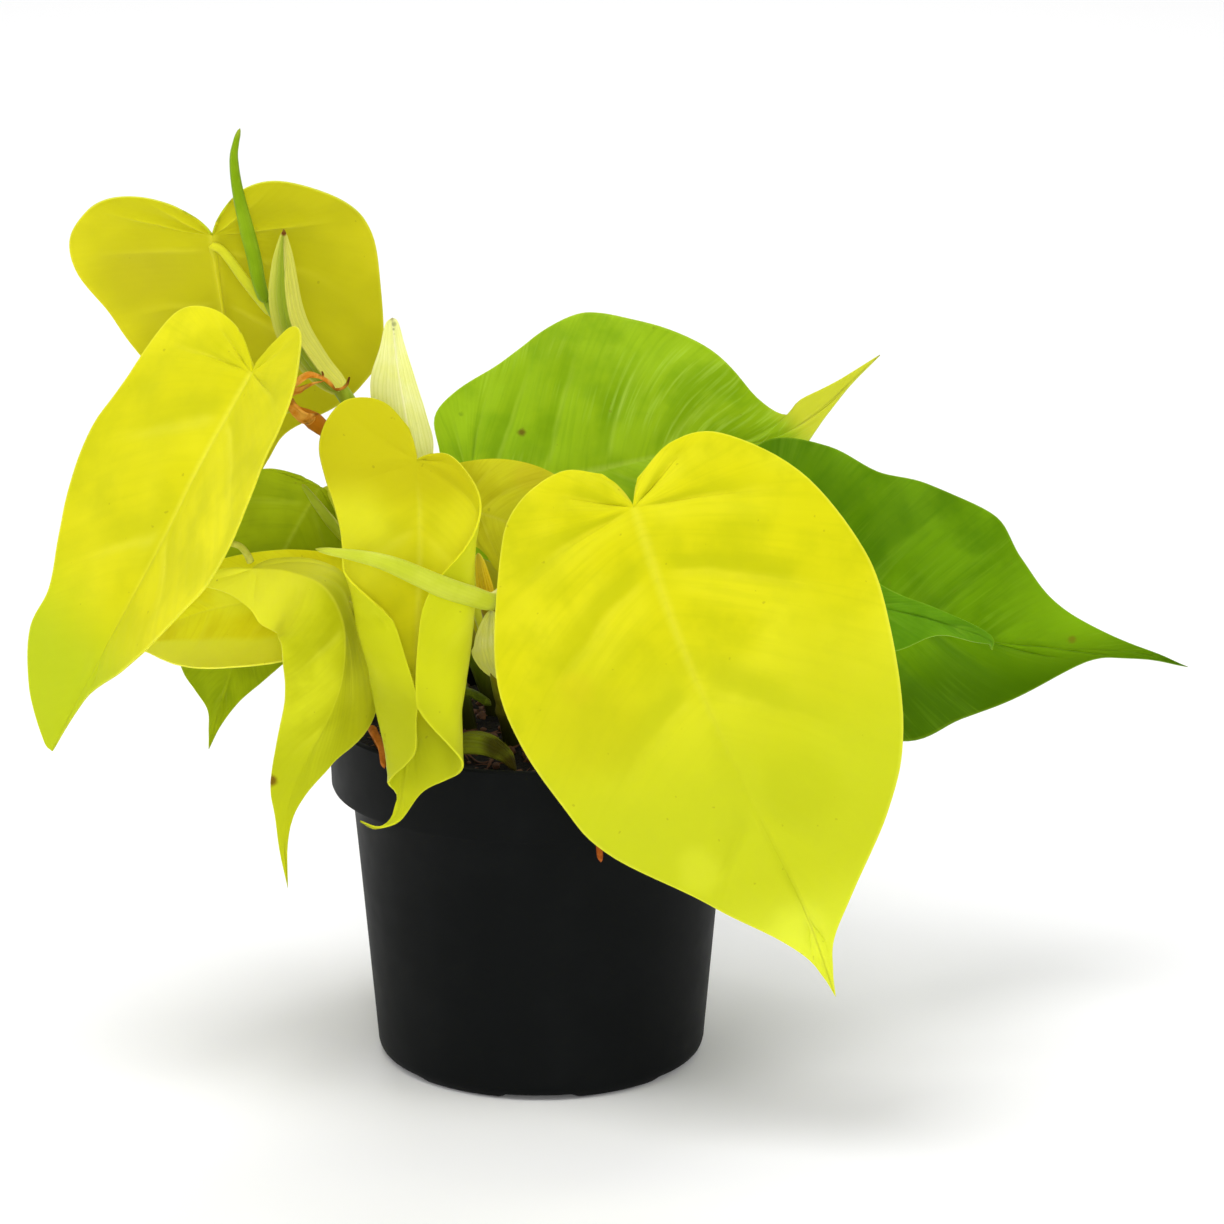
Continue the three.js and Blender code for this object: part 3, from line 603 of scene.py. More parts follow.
def makeLitter():
    s = soilShape
    draw = random.Random(s["seed"])
    scraps = []
    for index in range(s["fibres"]):
        angle = draw.uniform(0, 2 * math.pi)
        radius = s["radius"] * 0.95 * math.sqrt(draw.random())
        heading = draw.uniform(0, 2 * math.pi)
        x, y = radius * math.cos(angle), radius * math.sin(angle)
        path = []
        for step in range(5):
            if math.hypot(x, y) < s["radius"] - 0.6:
                path.append((x, y, soilHeight(x, y) + draw.uniform(-0.2, 0.9)))
            x += s["fibreStep"] * math.cos(heading)
            y += s["fibreStep"] * math.sin(heading)
            heading += draw.uniform(-s["fibreTurn"], s["fibreTurn"])
        if len(path) > 2:
            thick = draw.uniform(*s["fibreRadius"])
            scraps.append(makeTube(f"fibre{index}", path, [thick, thick, thick * 0.5], 5, 8))
    for index in range(s["crumbs"]):
        angle = draw.uniform(0, 2 * math.pi)
        radius = s["radius"] * 0.97 * math.sqrt(draw.random())
        x, y = radius * math.cos(angle), radius * math.sin(angle)
        size = draw.uniform(*s["crumbRadius"])
        deselect()
        place = Vector((x, y, soilHeight(x, y) + 0.1 * size)) * mm
        bpy.ops.mesh.primitive_ico_sphere_add(subdivisions=2, radius=size * mm, location=place)
        crumb = bpy.context.object
        for vertex in crumb.data.vertices:
            vertex.co *= 1 + 0.9 * noise.noise(vertex.co * 900 + Vector((index, 0, 0)))
        scraps.append(crumb)
    litter = joinPieces(scraps[0], scraps[1:])
    litter.name = "peat_litter"
    litter.data.materials.append(fibreSkin())
    settle(litter, None, sharpAngle=60)


makeSoil()
makeLitter()
print("peat made")


# stems

stemForm = {
    "columns": 20,
    "rows": 90,
    "radii": [2.5, 2.3, 2.1, 1.8],
    "nodeShare": 0.02,
    "nodeSwelling": 0.55,
    "nodeWaist": 0.2,
}
stemColours = {
    "green": tint(126, 152, 26),
    "pale": tint(172, 186, 60),
    "brown": tint(182, 98, 18),
    # base: the dark colour at the foot of each stem, partly its own browner tone and partly painted
    # shade
    "base": tint(38, 40, 11),
}
stems = {
    "stem_tall": [[-10, 8, 74], [-12, 8, 90], [-22, 6, 118], [-37, 1, 153], [-50, -4, 178],
        [-62, -3, 192], [-70, 0, 202]],
    "stem_left": [[-18, -2, 74], [-19, -3, 90], [-27, -6, 122], [-43, -11, 158], [-55, -13, 171],
        [-63, -15, 177]],
    "stem_middle": [[-6, -18, 74], [-7, -20, 90], [-10, -26, 108], [-12, -32, 124], [-11, -38, 134]],
    "stem_bract": [[-22, -14, 74], [-23, -15, 90], [-27, -20, 125], [-29, -25, 162]],
    "stem_low": [[-28, 2, 74], [-30, 1, 90], [-40, -6, 112], [-46, -8, 132], [-50, -7, 143]],
    "stem_rear": [[8, 14, 74], [8, 15, 90], [5, 19, 116], [-1, 17, 136], [-4, 15, 148]],
    "stem_rear_low": [[-10, 26, 74], [-11, 28, 90], [-14, 35, 104], [-17, 42, 114]],
}
stemNodes = {  # where leaves leave, and how brown the stem is there
    "stem_tall": [(0.3, 0.3), (0.62, 0.3), (0.85, 0.3)],
    "stem_left": [(0.35, 0.3), (0.62, 0.4), (0.93, 0.9)],
    "stem_middle": [(0.4, 0.3), (0.7, 0.4), (0.9, 0.4)],
    "stem_bract": [(0.35, 0.3), (0.72, 0.3), (0.95, 0.3)],
    "stem_low": [(0.4, 0.3), (0.75, 0.3)],
    "stem_rear": [(0.35, 0.3), (0.7, 0.3)],
    "stem_rear_low": [(0.5, 0.3)],
}


def stemSkin(name):
    skin = Skin(name + "_skin")
    streaks = skin.smooth(skin.cloud(420, 3, stretch=(1, 1, 0.1)), 0.35, 0.7)
    colour = skin.mix(streaks * 0.6, stemColours["green"], stemColours["pale"])
    for share, brown in stemNodes[name]:
        point = Rail(stems[name]).at(share) / mm
        colour = skin.mix(skin.nearness(point, 12, 0.5) * brown, colour, stemColours["brown"])
    grain = skin.cloud(1500, 3, stretch=(1, 1, 0.2))
    # painted shade: the stems darken towards the peat, where they stand in deep shadow, and are also
    # browner there
    colour = skin.mix(skin.between((0, 0, 116), (0, 0, 92)), colour, stemColours["base"])
    bumps = [(streaks, 0.15, 0.15), (grain, 0.12, 0.06)]
    return skin.finish(colour, 0.42, bumps, **gloss(0.2, stemColours["pale"]))


def makeStem(name):
    radii = []
    for step in range(61):
        share = step / 60
        radius = along(stemForm["radii"], share)
        for node, _ in stemNodes[name]:
            away = (share - node) / stemForm["nodeShare"]
            swelling = stemForm["nodeSwelling"] * math.exp(-away * away)
            radius += swelling - stemForm["nodeWaist"] * math.exp(-((away - 2) ** 2))
        radii.append(radius)
    stem = makeTube(name + "_shape", stems[name], radii, stemForm["columns"], stemForm["rows"])
    stem.data.materials.append(stemSkin(name))
    settle(stem, name, sharpAngle=60)


for stemName in stems:
    makeStem(stemName)
print("stems made")


# leaves

leafForm = {
    "columns": 72,
    "rows": 84,
    "thickness": 0.5,
    "fan": 1.2,  # crowds the columns towards the midrib
    "reach": 0.012,  # how far along the midrib its direction is read
    "bendSteps": 12,
    "lobeShare": 0.21,
    "stalkColumns": 16,
    "stalkRows": 90,
    "petioleRadii": [2.0, 1.6, 1.4, 1.3, 1.2, 1.1],
    "ribRadii": [1.0, 0.6, 0.45, 0.35, 0.28, 0.2, 0.14, 0.08],
    "ribEnd": 0.8,
}

leafGrain = {
    "driftScale": 45,
    "cloudScale": 24,
    "patchScale": 75,
    "threadCount": 24,
    "fineLines": 8,  # from one side vein to the next
    "speckScale": 520,
    "cellScale": 1700,
}

limeLook = {
    "base": tint(214, 212, 28),
    "light": tint(230, 227, 48),
    "shade": tint(194, 192, 22),
    "vein": tint(234, 231, 84),
    "edge": tint(232, 230, 96),
    "under": tint(202, 198, 40),
    "underShade": tint(184, 180, 30),
    "stalk": tint(190, 196, 48),
    "rough": 0.46,
    "veins": 6,
    "puff": 0.9,
    "specks": 0.3,
    "speck": tint(118, 104, 24),
}


def heartEdge(lobe):
    return [
        (0.14, -0.75 * lobe), (0.36, -1.08 * lobe), (0.62, -0.92 * lobe), (0.85, -0.35 * lobe),
        (0.97, 0.1), (1, 0.25), (0.94, 0.43), (0.79, 0.59), (0.57, 0.72), (0.31, 0.83), (0.1, 0.92),
        (0, 1),
    ]


bractEdge = [(0.5, 0), (0.85, 0.08), (1, 0.25), (0.92, 0.5), (0.6, 0.78), (0.25, 0.94), (0, 1)]


def bendAt(bends, length, across):
    place = clamp(length) * (len(bends) - 1)
    row = min(int(place), max(len(bends) - 2, 0))
    following = bends[min(row + 1, len(bends) - 1)]
    angle = lerp(along(bends[row], across), along(following, across), place - row)
    return math.radians(angle)


def veinStart(length):
    return max(0, (length - 0.05) / 0.95) ** 1.8


class Blade:  # where each point of a leaf lies, from its shares across and along
    def __init__(self, shape, relief):
        self.shape = shape
        self.relief = relief
        self.midrib = Rail(shape["midrib"])
        self.sides = [Vector(side) for side in shape["side"]]
        self.halves = [shape["left"], shape["right"]]
        self.edges = []
        for half in self.halves:
            edge = half.get("edge") or heartEdge(half["lobe"])
            self.edges.append([Vector(point) for point in edge])

    def spine(self, share):
        on = clamp(share)
        ahead = self.midrib.ahead(on, self.shape.get("reach", leafForm["reach"]))
        right = self.sides[0].lerp(self.sides[1], on)
        right = (right - ahead * right.dot(ahead)).normalized()
        centre = self.midrib.at(on) + ahead * ((share - on) * self.midrib.length)
        return centre, right, ahead.cross(right)

    def at(self, turn, ray):  # turn runs from the left margin, 0, to the right margin, 1
        side = 1 if turn >= 0.5 else 0
        sign = 1 if side else -1
        across = abs(2 * turn - 1) ** leafForm["fan"]
        half = self.halves[side]
        ends = [splineAt(edge, ray) for edge in self.edges]
        end = ends[side]
        start = veinStart((ends[0].y + ends[1].y) / 2)
        inLobe = max(0, 1 - ray / leafForm["lobeShare"])
        bendX = lerp(0.5, 0.25, inLobe) * end.x
        bendY = start + lerp(0.3, 0.6, inLobe) * (end.y - start)
        rest = 1 - across
        x = 2 * rest * across * bendX + across * across * end.x
        y = rest * rest * start + 2 * rest * across * bendY + across * across * end.y
        centre, right, up = self.spine(y)
        waveSize, waveCount, wavePhase = half.get("wave", (0, 0, 0))
        out = 0
        rise = waveSize * x**3 * math.sin(2 * math.pi * (waveCount * y + wavePhase))
        steps = leafForm["bendSteps"]
        for step in range(steps):
            angle = bendAt(half["bends"], y, x * (step + 0.5) / steps)
            out += half["width"] * x * math.cos(angle) / steps
            rise += half["width"] * x * math.sin(angle) / steps
        angle = bendAt(half["bends"], y, x)
        normal = up * math.cos(angle) - right * (sign * math.sin(angle))
        place = centre + right * (sign * out * mm) + up * (rise * mm)
        return place + normal * (self.relief(across, ray, place) * mm)


def quilting(look):  # swellings between sunken veins, a midrib channel, and an uneven hand
    def relief(across, ray, place):
        swell = abs(math.sin(math.pi * look["veins"] * ray)) ** 0.75
        fade = smoothStep(0.02, 0.25, across) * (1 - smoothStep(0.55, 0.97, across))
        channel = math.exp(-((across / 0.05) ** 2)) * (1 - ray**6)
        uneven = noise.noise(place * 45) * 0.7 + noise.noise(place * 110) * 0.25
        flat = smoothStep(0.84, 0.99, ray)
        relief = look["puff"] * (1.5 * (swell - 0.6) * fade - 0.25 * channel)
        relief += look.get("uneven", 1) * uneven * smoothStep(0, 0.3, across)
        return relief * (1 - flat)

    return relief


# a look may also set depth (how strong the painted light and shade beside the veins are), midrib,
# threads, gloss and uneven, and hold rim (a painted highlight band), streaks (painted sheen), fades,
# underFades and marks (tones of the leaf, and on some leaves painted light or shade)
def leafSkin(name, look, under=False):
    skin = Skin(name)
    grain = leafGrain
    across = skin.maths("ABSOLUTE", skin.uv("X") * 2 - 1) ** leafForm["fan"]
    ray = skin.uv("Y")
    drift = (skin.cloud(grain["driftScale"], 2) - 0.5) * 0.05
    turn = (ray + drift) * (math.pi * look["veins"])
    lateral = skin.maths("ABSOLUTE", skin.maths("SINE", turn))  # 0 on a vein, 1 halfway to the next
    slope = skin.maths("SINE", turn * 2) * (1 - lateral)  # the two sides of a sunken vein, for the painted light and shade below
    fade = skin.smooth(across, 0.02, 0.15) * (1 - skin.smooth(across, 0.35, 0.95))
    veins = (1 - skin.smooth(lateral, 0.0, 0.3)) * fade
    middle = 1 - skin.smooth(across, 0.0, 0.05)
    middle = middle * (1 - skin.smooth(ray, 0.5, 0.95))
    clouds = skin.smooth(skin.cloud(grain["cloudScale"], 3), 0.4, 0.62)
    patches = skin.smooth(skin.cloud(grain["patchScale"], 4), 0.42, 0.7)
    lineTurn = math.pi * 2 * look["veins"] * grain["fineLines"]
    fine = skin.maths("SINE", (ray + drift * 0.4) * lineTurn) * 0.5 + 0.5
    threadPlace = skin.node("CombineXYZ", inputs={0: across * 0.5, 1: ray * grain["threadCount"]})
    threads = skin.cloud(4, 3, place=threadPlace)
    if under:
        colour = skin.mix(clouds, look["underShade"], look["under"])
        colour = skin.mix(veins * 0.2 + middle * 0.45, colour, look["vein"])
    else:
        depth = look.get("depth", 1)
        colour = skin.mix(clouds, look["base"], look["light"])
        colour = skin.mix(patches * 0.6, colour, look["shade"])
        # painted highlight on one side of each sunken vein and painted shade on the other, as light
        # from above falls on the relief
        lit = skin.smooth(slope, 0.0, 0.5) * fade
        shaded = skin.smooth(slope * -1, 0.0, 0.5) * fade
        colour = skin.mix(lit * (0.3 * depth), colour, look["light"])
        colour = skin.mix(shaded * (0.4 * depth), colour, look["shade"])
        colour = skin.mix(veins * 0.16 + middle * look.get("midrib", 0.35), colour, look["vein"])
    threadStrength = 0.12 if under else look.get("threads", 0.3)
    threadColour = look["underShade"] if under else look["shade"]
    colour = skin.mix(skin.smooth(threads, 0.45, 0.7) * threadStrength, colour, threadColour)
    colour = skin.mix(fine * 0.05, colour, threadColour)
    # painted highlight: the right half turns lighter past its crease, where the blade faces the light
    if "rim" in look:
        low, high, litRimColour = look["rim"]
        onRight = skin.smooth(skin.uv("X"), 0.49, 0.51)
        colour = skin.mix(skin.smooth(across, low, high) * onRight, colour, litRimColour)
    fades = look.get("underFades" if under else "fades", look.get("fades", ()))
    for start, end, faded in fades:
        colour = skin.mix(skin.between(start, end), colour, faded)
    # painted sheen: pale streaks along the veins stand in for glossy reflections
    if "streaks" in look:
        pale, strength = look["streaks"]
        bandPlace = skin.node("CombineXYZ", inputs={0: across * 0.4, 1: ray * 34, 2: 7.0})
        bands = skin.cloud(4, 6, place=bandPlace)
        paintedSheen = skin.smooth(bands, 0.46, 0.74) * skin.smooth(skin.cloud(40, 2), 0.42, 0.6)
        colour = skin.mix(paintedSheen * strength, colour, pale)
    margin = skin.smooth(across, 0.982, 0.997)
    colour = skin.mix(margin * 0.22, colour, look["edge"])
    specks = skin.smooth(skin.cloud(grain["speckScale"], 1), 0.77, 0.8) * look["specks"]
    colour = skin.mix(specks, colour, look["speck"])
    colour = skin.spots(colour, look.get("marks", ()))
    roughness = look["rough"] + skin.cloud(220, 3) * 0.14
    cells = skin.cloud(grain["cellScale"], 2)
    bumps = [(fine, 0.1, 0.2), (threads, 0.12, 0.25), (cells, 0.1, 0.06)]
    shine = gloss(look.get("gloss", 0.14), look["light"])
    return skin.finish(colour, roughness, bumps, **shine, **glow(0.6, 0.15))


def makeBlade(name, shape, form, relief):
    blade = Blade(shape, relief)
    sheet = makeSheet(name, form["columns"], form["rows"], blade.at)
    editAll(sheet)
    bpy.ops.mesh.flip_normals()
    stopEdit()
    return blade, sheet


def makeLeaf(node, shape):
    look = {**limeLook, **shape.get("look", {})}
    blade, sheet = makeBlade(node + "_blade", shape, leafForm, quilting(look))
    sheet.data.materials.append(leafSkin(node + "_top", look))
    sheet.data.materials.append(leafSkin(node + "_under", look, under=True))
    giveThickness(sheet, leafForm["thickness"], underSlot=1)
    stalk = makeStalk(node + "_petiole", shape["petiole"], blade)
    stalk.data.materials.append(stalkSkin(node + "_stalk", look))
    joinPieces(sheet, [stalk])
    settle(sheet, node, sharpAngle=50)


def makeStalk(name, petiole, blade):  # the petiole, carried on as a rib under the midrib
    rib = []
    for step in range(16):
        share = step / 15
        radius = along(leafForm["ribRadii"], share)
        centre, _, up = blade.spine(lerp(0.02, leafForm["ribEnd"], share))
        rib.append(centre / mm - up * (0.3 + 0.8 * radius + 1.6 * math.exp(-20 * share)))
    path = petiole + rib
    joint = Rail(petiole + rib[:1]).length / Rail(path).length
    radii = []
    for step in range(81):
        share = step / 80
        onRib = (share - joint) / (1 - joint)
        if onRib > 0:
            radii.append(along(leafForm["ribRadii"], onRib))
        else:
            radii.append(along(leafForm["petioleRadii"], share / joint))
    return makeTube(name, path, radii, leafForm["stalkColumns"], leafForm["stalkRows"])


def stalkSkin(name, look):
    skin = Skin(name)
    streaks = skin.smooth(skin.cloud(300, 3, stretch=(1, 1, 0.2)), 0.35, 0.7)
    onRib = skin.smooth(skin.uv("Y"), 0.1, 0.4)
    colour = skin.mix(skin.maths("MAXIMUM", onRib, streaks * 0.5), look["stalk"], look["under"])
    bumps = [(skin.cloud(1300, 3), 0.1, 0.08)]
    return skin.finish(colour, 0.4, bumps, **gloss(0.2, look["light"]))


leafFront = {
    "midrib": [[24, -64, 163], [35, -76, 133], [51, -84, 98], [66, -88, 67], [73.5, -90, 46]],
    "side": [[0.92, -0.1, 0.38], [0.92, -0.1, 0.38]],
    "right": {
        "width": 50,
        "edge": [[0.07, -0.05], [0.3, -0.09], [0.55, -0.07], [0.87, 0.06], [1.01, 0.24], [0.98, 0.4],
            [0.81, 0.6], [0.6, 0.71], [0.27, 0.82], [0.09, 0.89], [0.03, 0.95], [0, 1]],
        "bends": [[8, -6], [4, -6], [6, 0]],
        "wave": [1.2, 3, 0.1],
    },
    "left": {
        "width": 47,
        "edge": [[0.1, -0.08], [0.3, -0.11], [0.57, -0.08], [0.75, 0], [0.97, 0.2], [1, 0.33],
            [0.93, 0.46], [0.82, 0.57], [0.5, 0.71], [0.36, 0.78], [0.1, 0.9], [0.03, 0.955], [0, 1]],
        "bends": [[8, -8], [4, -8], [6, 0]],
        "wave": [1.2, 3, 0.6],
    },
    "petiole": [[-12, -32, 124], [0, -40, 134], [14, -53, 152]],
    "look": {
        "base": tint(204, 200, 20),
        "light": tint(216, 212, 36),
        "shade": tint(180, 182, 16),
        "veins": 7,
        "puff": 1.2,
        "vein": tint(226, 222, 66),
        "fades": [
            ((40, -75, 145), (58, -86, 92), tint(188, 194, 34)),
            # painted highlight: lighter towards the tip
            ((64, -87, 80), (72, -90, 56), tint(208, 215, 54)),
        ],
        "marks": [
            ((64, -87, 99), 14, tint(176, 182, 22), 0.35),
            # painted highlights: pale patches low on the left half and near the tip
            ((40, -84, 77), 8, tint(226, 230, 64), 0.2),
            ((64, -89, 62), 10, tint(228, 236, 76), 0.3),
            ((10, -75, 120), 6, tint(200, 182, 30), 0.25),
            ((28, -69, 140), 4, tint(204, 186, 30), 0.2),
            ((13, -78, 111), 18, tint(182, 180, 22), 0.4),
            ((70, -80, 132), 16, tint(194, 194, 30), 0.3),
            ((57, -84, 112), 12, tint(188, 190, 26), 0.25),
        ],
        "threads": 0.2,
        "depth": 1.6,
    },
}

leafFolded = {
    "midrib": [[-29.6, -42, 169.5], [-28.9, -46, 150], [-29.4, -51, 131], [-30.4, -55, 111.4],
        [-32.9, -60, 92], [-35, -62, 83], [-39.3, -65, 81.2], [-43.6, -67, 83.7]],
    "side": [[1, 0, 0], [0.8, -0.3, 0.5]],
    "right": {
        "width": 31,
        "edge": [[0.05, 0.005], [0.14, -0.015], [0.3, -0.01], [0.47, 0.035], [0.64, 0.1], [0.84, 0.2],
            [1.03, 0.33], [1.04, 0.47], [0.96, 0.6], [0.78, 0.69], [0.56, 0.745], [0.36, 0.775],
            [0.18, 0.81], [0.08, 0.86], [0.03, 0.92], [0, 1]],
        "bends": [
            [20, 30, 40, 50, 50],
            [10, 20, 55, 105, 130],
            [0, 0, 55, 165, 180],
            [0, 5, 65, 165, 180],
            [0, 0, 25, 50, 60],
            [0, 0, 0, 0, 0],
        ],
    },
    "left": {
        "width": 27,
        "edge": [[0.06, -0.08], [0.25, -0.14], [0.46, -0.16], [0.68, -0.15], [0.85, -0.1],
            [0.92, -0.04], [0.88, 0.03], [0.8, 0.1], [0.74, 0.18], [0.75, 0.25], [0.92, 0.31],
            [1.08, 0.4], [1.04, 0.5], [0.92, 0.6], [0.78, 0.7], [0.6, 0.745], [0.34, 0.785],
            [0.06, 0.825], [0.04, 0.88], [0.03, 0.94], [0, 1]],
        "bends": [
            [8, 12, 18, 25, 30],
            [8, 12, 20, 35, 60],
            [0, 0, 20, 165, 180],
            [0, 20, 150, 180, 180],
            [20, 140, 180, 180, 180],
            [20, 140, 180, 180, 180],
        ],
    },
    "petiole": [[-28.3, -22, 138], [-31, -27, 150], [-30.5, -36, 162]],
    "look": {
        "base": tint(206, 202, 24),
        "light": tint(216, 212, 36),
        "shade": tint(188, 188, 20),
        "under": tint(210, 214, 36),
        "underShade": tint(196, 200, 28),
        "puff": 0.35,
        "threads": 0.15,
        "midrib": 0.25,
        "edge": tint(220, 220, 56),
        "fades": [
            ((-29, -45, 155), (-29.4, -42, 166), tint(194, 188, 26)),
            # painted shade: darker towards the lower inner part of the fold
            ((-30, -54, 113), (-31, -59, 101), tint(188, 193, 30)),
        ],
        "underFades": [
            # painted shade inside the fold, deepening towards the lower left
            ((-38, -61, 133), (-49, -61, 120), tint(166, 171, 28)),
        ],
        "marks": [
            ((-48, -46, 150), 20, tint(236, 235, 56), 0.5),
            ((-13, -48, 149), 17, tint(234, 231, 46), 0.5),
        ],
    },
}

leafDrooping = {
    "midrib": [[-71, -40, 141], [-61.5, -43, 141], [-52.6, -47, 138], [-48, -49, 129],
        [-48.3, -50, 116.4], [-51.6, -51, 106.3], [-57.4, -53, 96], [-61.7, -55, 86],
        [-63.2, -57, 75.5], [-62.4, -58, 63]],
    "side": [[0, 0.7, 0.7], [1, 0, 0]],
    "reach": 0.1,  # lets the cross lines turn more slowly round the arch
    "right": {
        "width": 24,
        "edge": [[0.09, 0], [0.33, 0.02], [0.48, 0.06], [0.65, 0.12], [0.82, 0.22], [0.95, 0.34],
            [1.04, 0.46], [0.85, 0.53], [0.42, 0.62], [0.28, 0.68], [0.15, 0.76], [0.06, 0.84], [0, 1]],
        "bends": [[-40, -60], [-40, -60], [-15, -30], [-10, -15], [0, 0]],
    },
    "left": {
        "width": 22,
        "edge": [[0.02, -0.07], [0.1, -0.11], [0.23, -0.14], [0.32, -0.05], [0.49, 0.02], [0.67, 0.07],
            [0.74, 0.18], [0.79, 0.3], [0.77, 0.41], [0.64, 0.51], [0.4, 0.65], [0.24, 0.76],
            [0.1, 0.84], [0, 1]],
        "bends": [[-5, -20], [-10, -30], [-10, -30], [-5, -15], [0, 0]],
    },
    "petiole": [[-41, -6, 114], [-40, -22, 121], [-50, -37, 132], [-64, -39.5, 138.5]],
    "look": {
        "base": tint(190, 194, 20),
        "light": tint(216, 219, 40),
        "shade": tint(174, 178, 16),
        "puff": 0.22,
        "fades": [
            ((-50, -49, 113), (-59, -54, 90), tint(182, 188, 28)),
            # painted light: the top lobes turn much lighter, where they face the light above
            ((-54, -49, 128), (-67, -44, 136), tint(255, 255, 66)),
        ],
        "threads": 0.12,
        "uneven": 0.5,
        "marks": [
            ((-66.2, -55, 90.3), 2, tint(112, 66, 18), 0.85),
        ],
    },
}

leafLong = {
    "midrib": [[-70.3, -38, 190.7], [-76.2, -41, 180.7], [-84, -45, 167], [-93, -48, 149.3],
        [-106, -50, 125.4], [-121.7, -46, 95.3]],
    "side": [[0.7, -0.7, 0.2], [0.7, -0.7, 0.2]],
    "right": {
        "width": 37,
        "edge": [[0.05, -0.06], [0.22, -0.13], [0.5, -0.12], [0.83, -0.02], [0.98, 0.1], [1.02, 0.25],
            [0.93, 0.43], [0.66, 0.58], [0.36, 0.7], [0.11, 0.8], [0.03, 0.88], [0, 1]],
        "bends": [[18, 12], [14, 12], [10, 0]],
    },
    "left": {
        "width": 38,
        "edge": [[0.1, -0.03], [0.3, -0.075], [0.55, -0.085], [0.77, -0.055], [0.87, 0.01],
            [0.92, 0.12], [0.97, 0.28], [0.92, 0.45], [0.8, 0.58], [0.66, 0.7], [0.64, 0.82],
            [0.4, 0.93], [0.1, 0.995], [0, 1]],
        "bends": [[18, 12], [14, 12], [10, 0]],
    },
    "petiole": [[-61, -14.6, 176], [-67, -18, 177.5], [-71.5, -27, 183.5]],
    "look": {
        "base": tint(202, 198, 22),
        "light": tint(214, 209, 30),
        "shade": tint(184, 184, 20),
        "puff": 0.7,
        "threads": 0.15,
        "fades": [
            ((-98, -50, 138), (-112, -48, 112), tint(175, 187, 28)),
        ],
    },
}

leafHigh = {
    "midrib": [[-83, 8, 216], [-81.6, 16, 197.4], [-79.5, 26, 171.4], [-77, 36, 141.4]],
    "side": [[-1, 0, 0], [-1, 0, 0]],
    "right": {
        "width": 36.5,
        "edge": [[0.1, -0.06], [0.27, -0.11], [0.5, -0.14], [0.72, -0.135], [0.88, -0.09], [1.02, 0.01],
            [1, 0.14], [0.83, 0.28], [0.7, 0.41], [0.45, 0.6], [0.18, 0.78], [0, 1]],
        "bends": [[10, 0], [4, 0], [4, 0]],
    },
    "left": {
        "width": 41,
        "edge": [[0.04, -0.05], [0.21, -0.15], [0.47, -0.17], [0.82, -0.08], [0.98, 0.05], [1, 0.26],
            [0.96, 0.5], [0.8, 0.63], [0.6, 0.71], [0.29, 0.785], [0.15, 0.88], [0, 1]],
        "bends": [[10, 0], [4, 0], [4, 0]],
    },
    "petiole": [[-66, -1.6, 197], [-69.8, 2.4, 199.5], [-75, 4, 205.5], [-80, 5.5, 212]],
    "look": {
        "base": tint(186, 194, 30),
        "light": tint(204, 206, 44),
        "shade": tint(166, 176, 26),
        "under": tint(212, 206, 34),
        "underShade": tint(196, 192, 28),
        "puff": 0.7,
        "vein": tint(236, 230, 70),
        "marks": [
            ((-102.6, 18, 206), 16, tint(188, 180, 38), 0.4),
        ],
    },
}

leafSideways = {
    "midrib": [[-47, -13, 126], [-65.8, -18, 127], [-86, -20, 124], [-106.8, -18, 114.4]],
    "side": [[0, -0.7, -0.7], [0, -0.7, -0.7]],
    "right": {
        "width": 23,
        "edge": [[0.2, -0.03], [0.5, 0.05], [0.8, 0.18], [1, 0.35], [0.98, 0.52], [0.87, 0.65],
            [0.68, 0.75], [0.48, 0.82], [0.22, 0.9], [0, 1]],
        "bends": [[5, 15, 35]],
    },
    "left": {
        "width": 13.5,
        "edge": [[0.4, -0.05], [0.75, -0.02], [0.95, 0.15], [1, 0.4], [0.9, 0.62], [0.6, 0.8],
            [0.25, 0.92], [0, 1]],
        "bends": [[5, 10]],
    },
    "petiole": [[-45.5, -8, 131], [-43.5, -9, 127], [-43.5, -11, 125]],
    "look": {
        "base": tint(242, 232, 24),
        "light": tint(250, 244, 42),
        "shade": tint(228, 216, 18),
        "puff": 0.3,
        # painted highlight along the lower band of the blade, which curls forward into the light
        "rim": (0.5, 0.62, tint(252, 250, 70)),
        "marks": [
            # painted highlight on the upper side, which faces the light
            ((-79, -20, 130), 9, tint(255, 253, 66), 0.7),
        ],
    },
}

leafGreen = {
    "midrib": [[-56.3, 2, 151.4], [-65, -1, 136.2], [-72.5, -4, 120], [-79.5, -7, 104.5],
        [-85.5, -9, 84.3]],
    "side": [[0.9, -0.3, 0.3], [0.9, -0.3, 0.3]],
    "right": {
        "width": 17,
        "edge": [[0.2, 0], [0.55, 0.07], [0.8, 0.18], [0.95, 0.36], [0.8, 0.54], [0.52, 0.7],
            [0.25, 0.81], [0.08, 0.91], [0, 1]],
        "bends": [[-35, -45], [-30, -30], [-10, -10]],
    },
    "left": {
        "width": 26,
        "edge": [[0.25, 0], [0.47, 0.02], [0.65, 0.05], [0.9, 0.12], [1, 0.3], [0.94, 0.5],
            [0.76, 0.66], [0.5, 0.77], [0.3, 0.82], [0.12, 0.87], [0.05, 0.94], [0, 1]],
        "bends": [[5, -5], [5, -5]],
    },
    "petiole": [[-49, -7, 140], [-51, -2, 146], [-54, 3, 150]],
    "look": {
        "base": tint(142, 160, 12),
        "light": tint(154, 170, 20),
        "shade": tint(122, 142, 10),
        "vein": tint(178, 188, 60),
        "edge": tint(176, 184, 60),
        "under": tint(150, 164, 34),
        "underShade": tint(134, 150, 26),
        "puff": 0.4,
    },
}

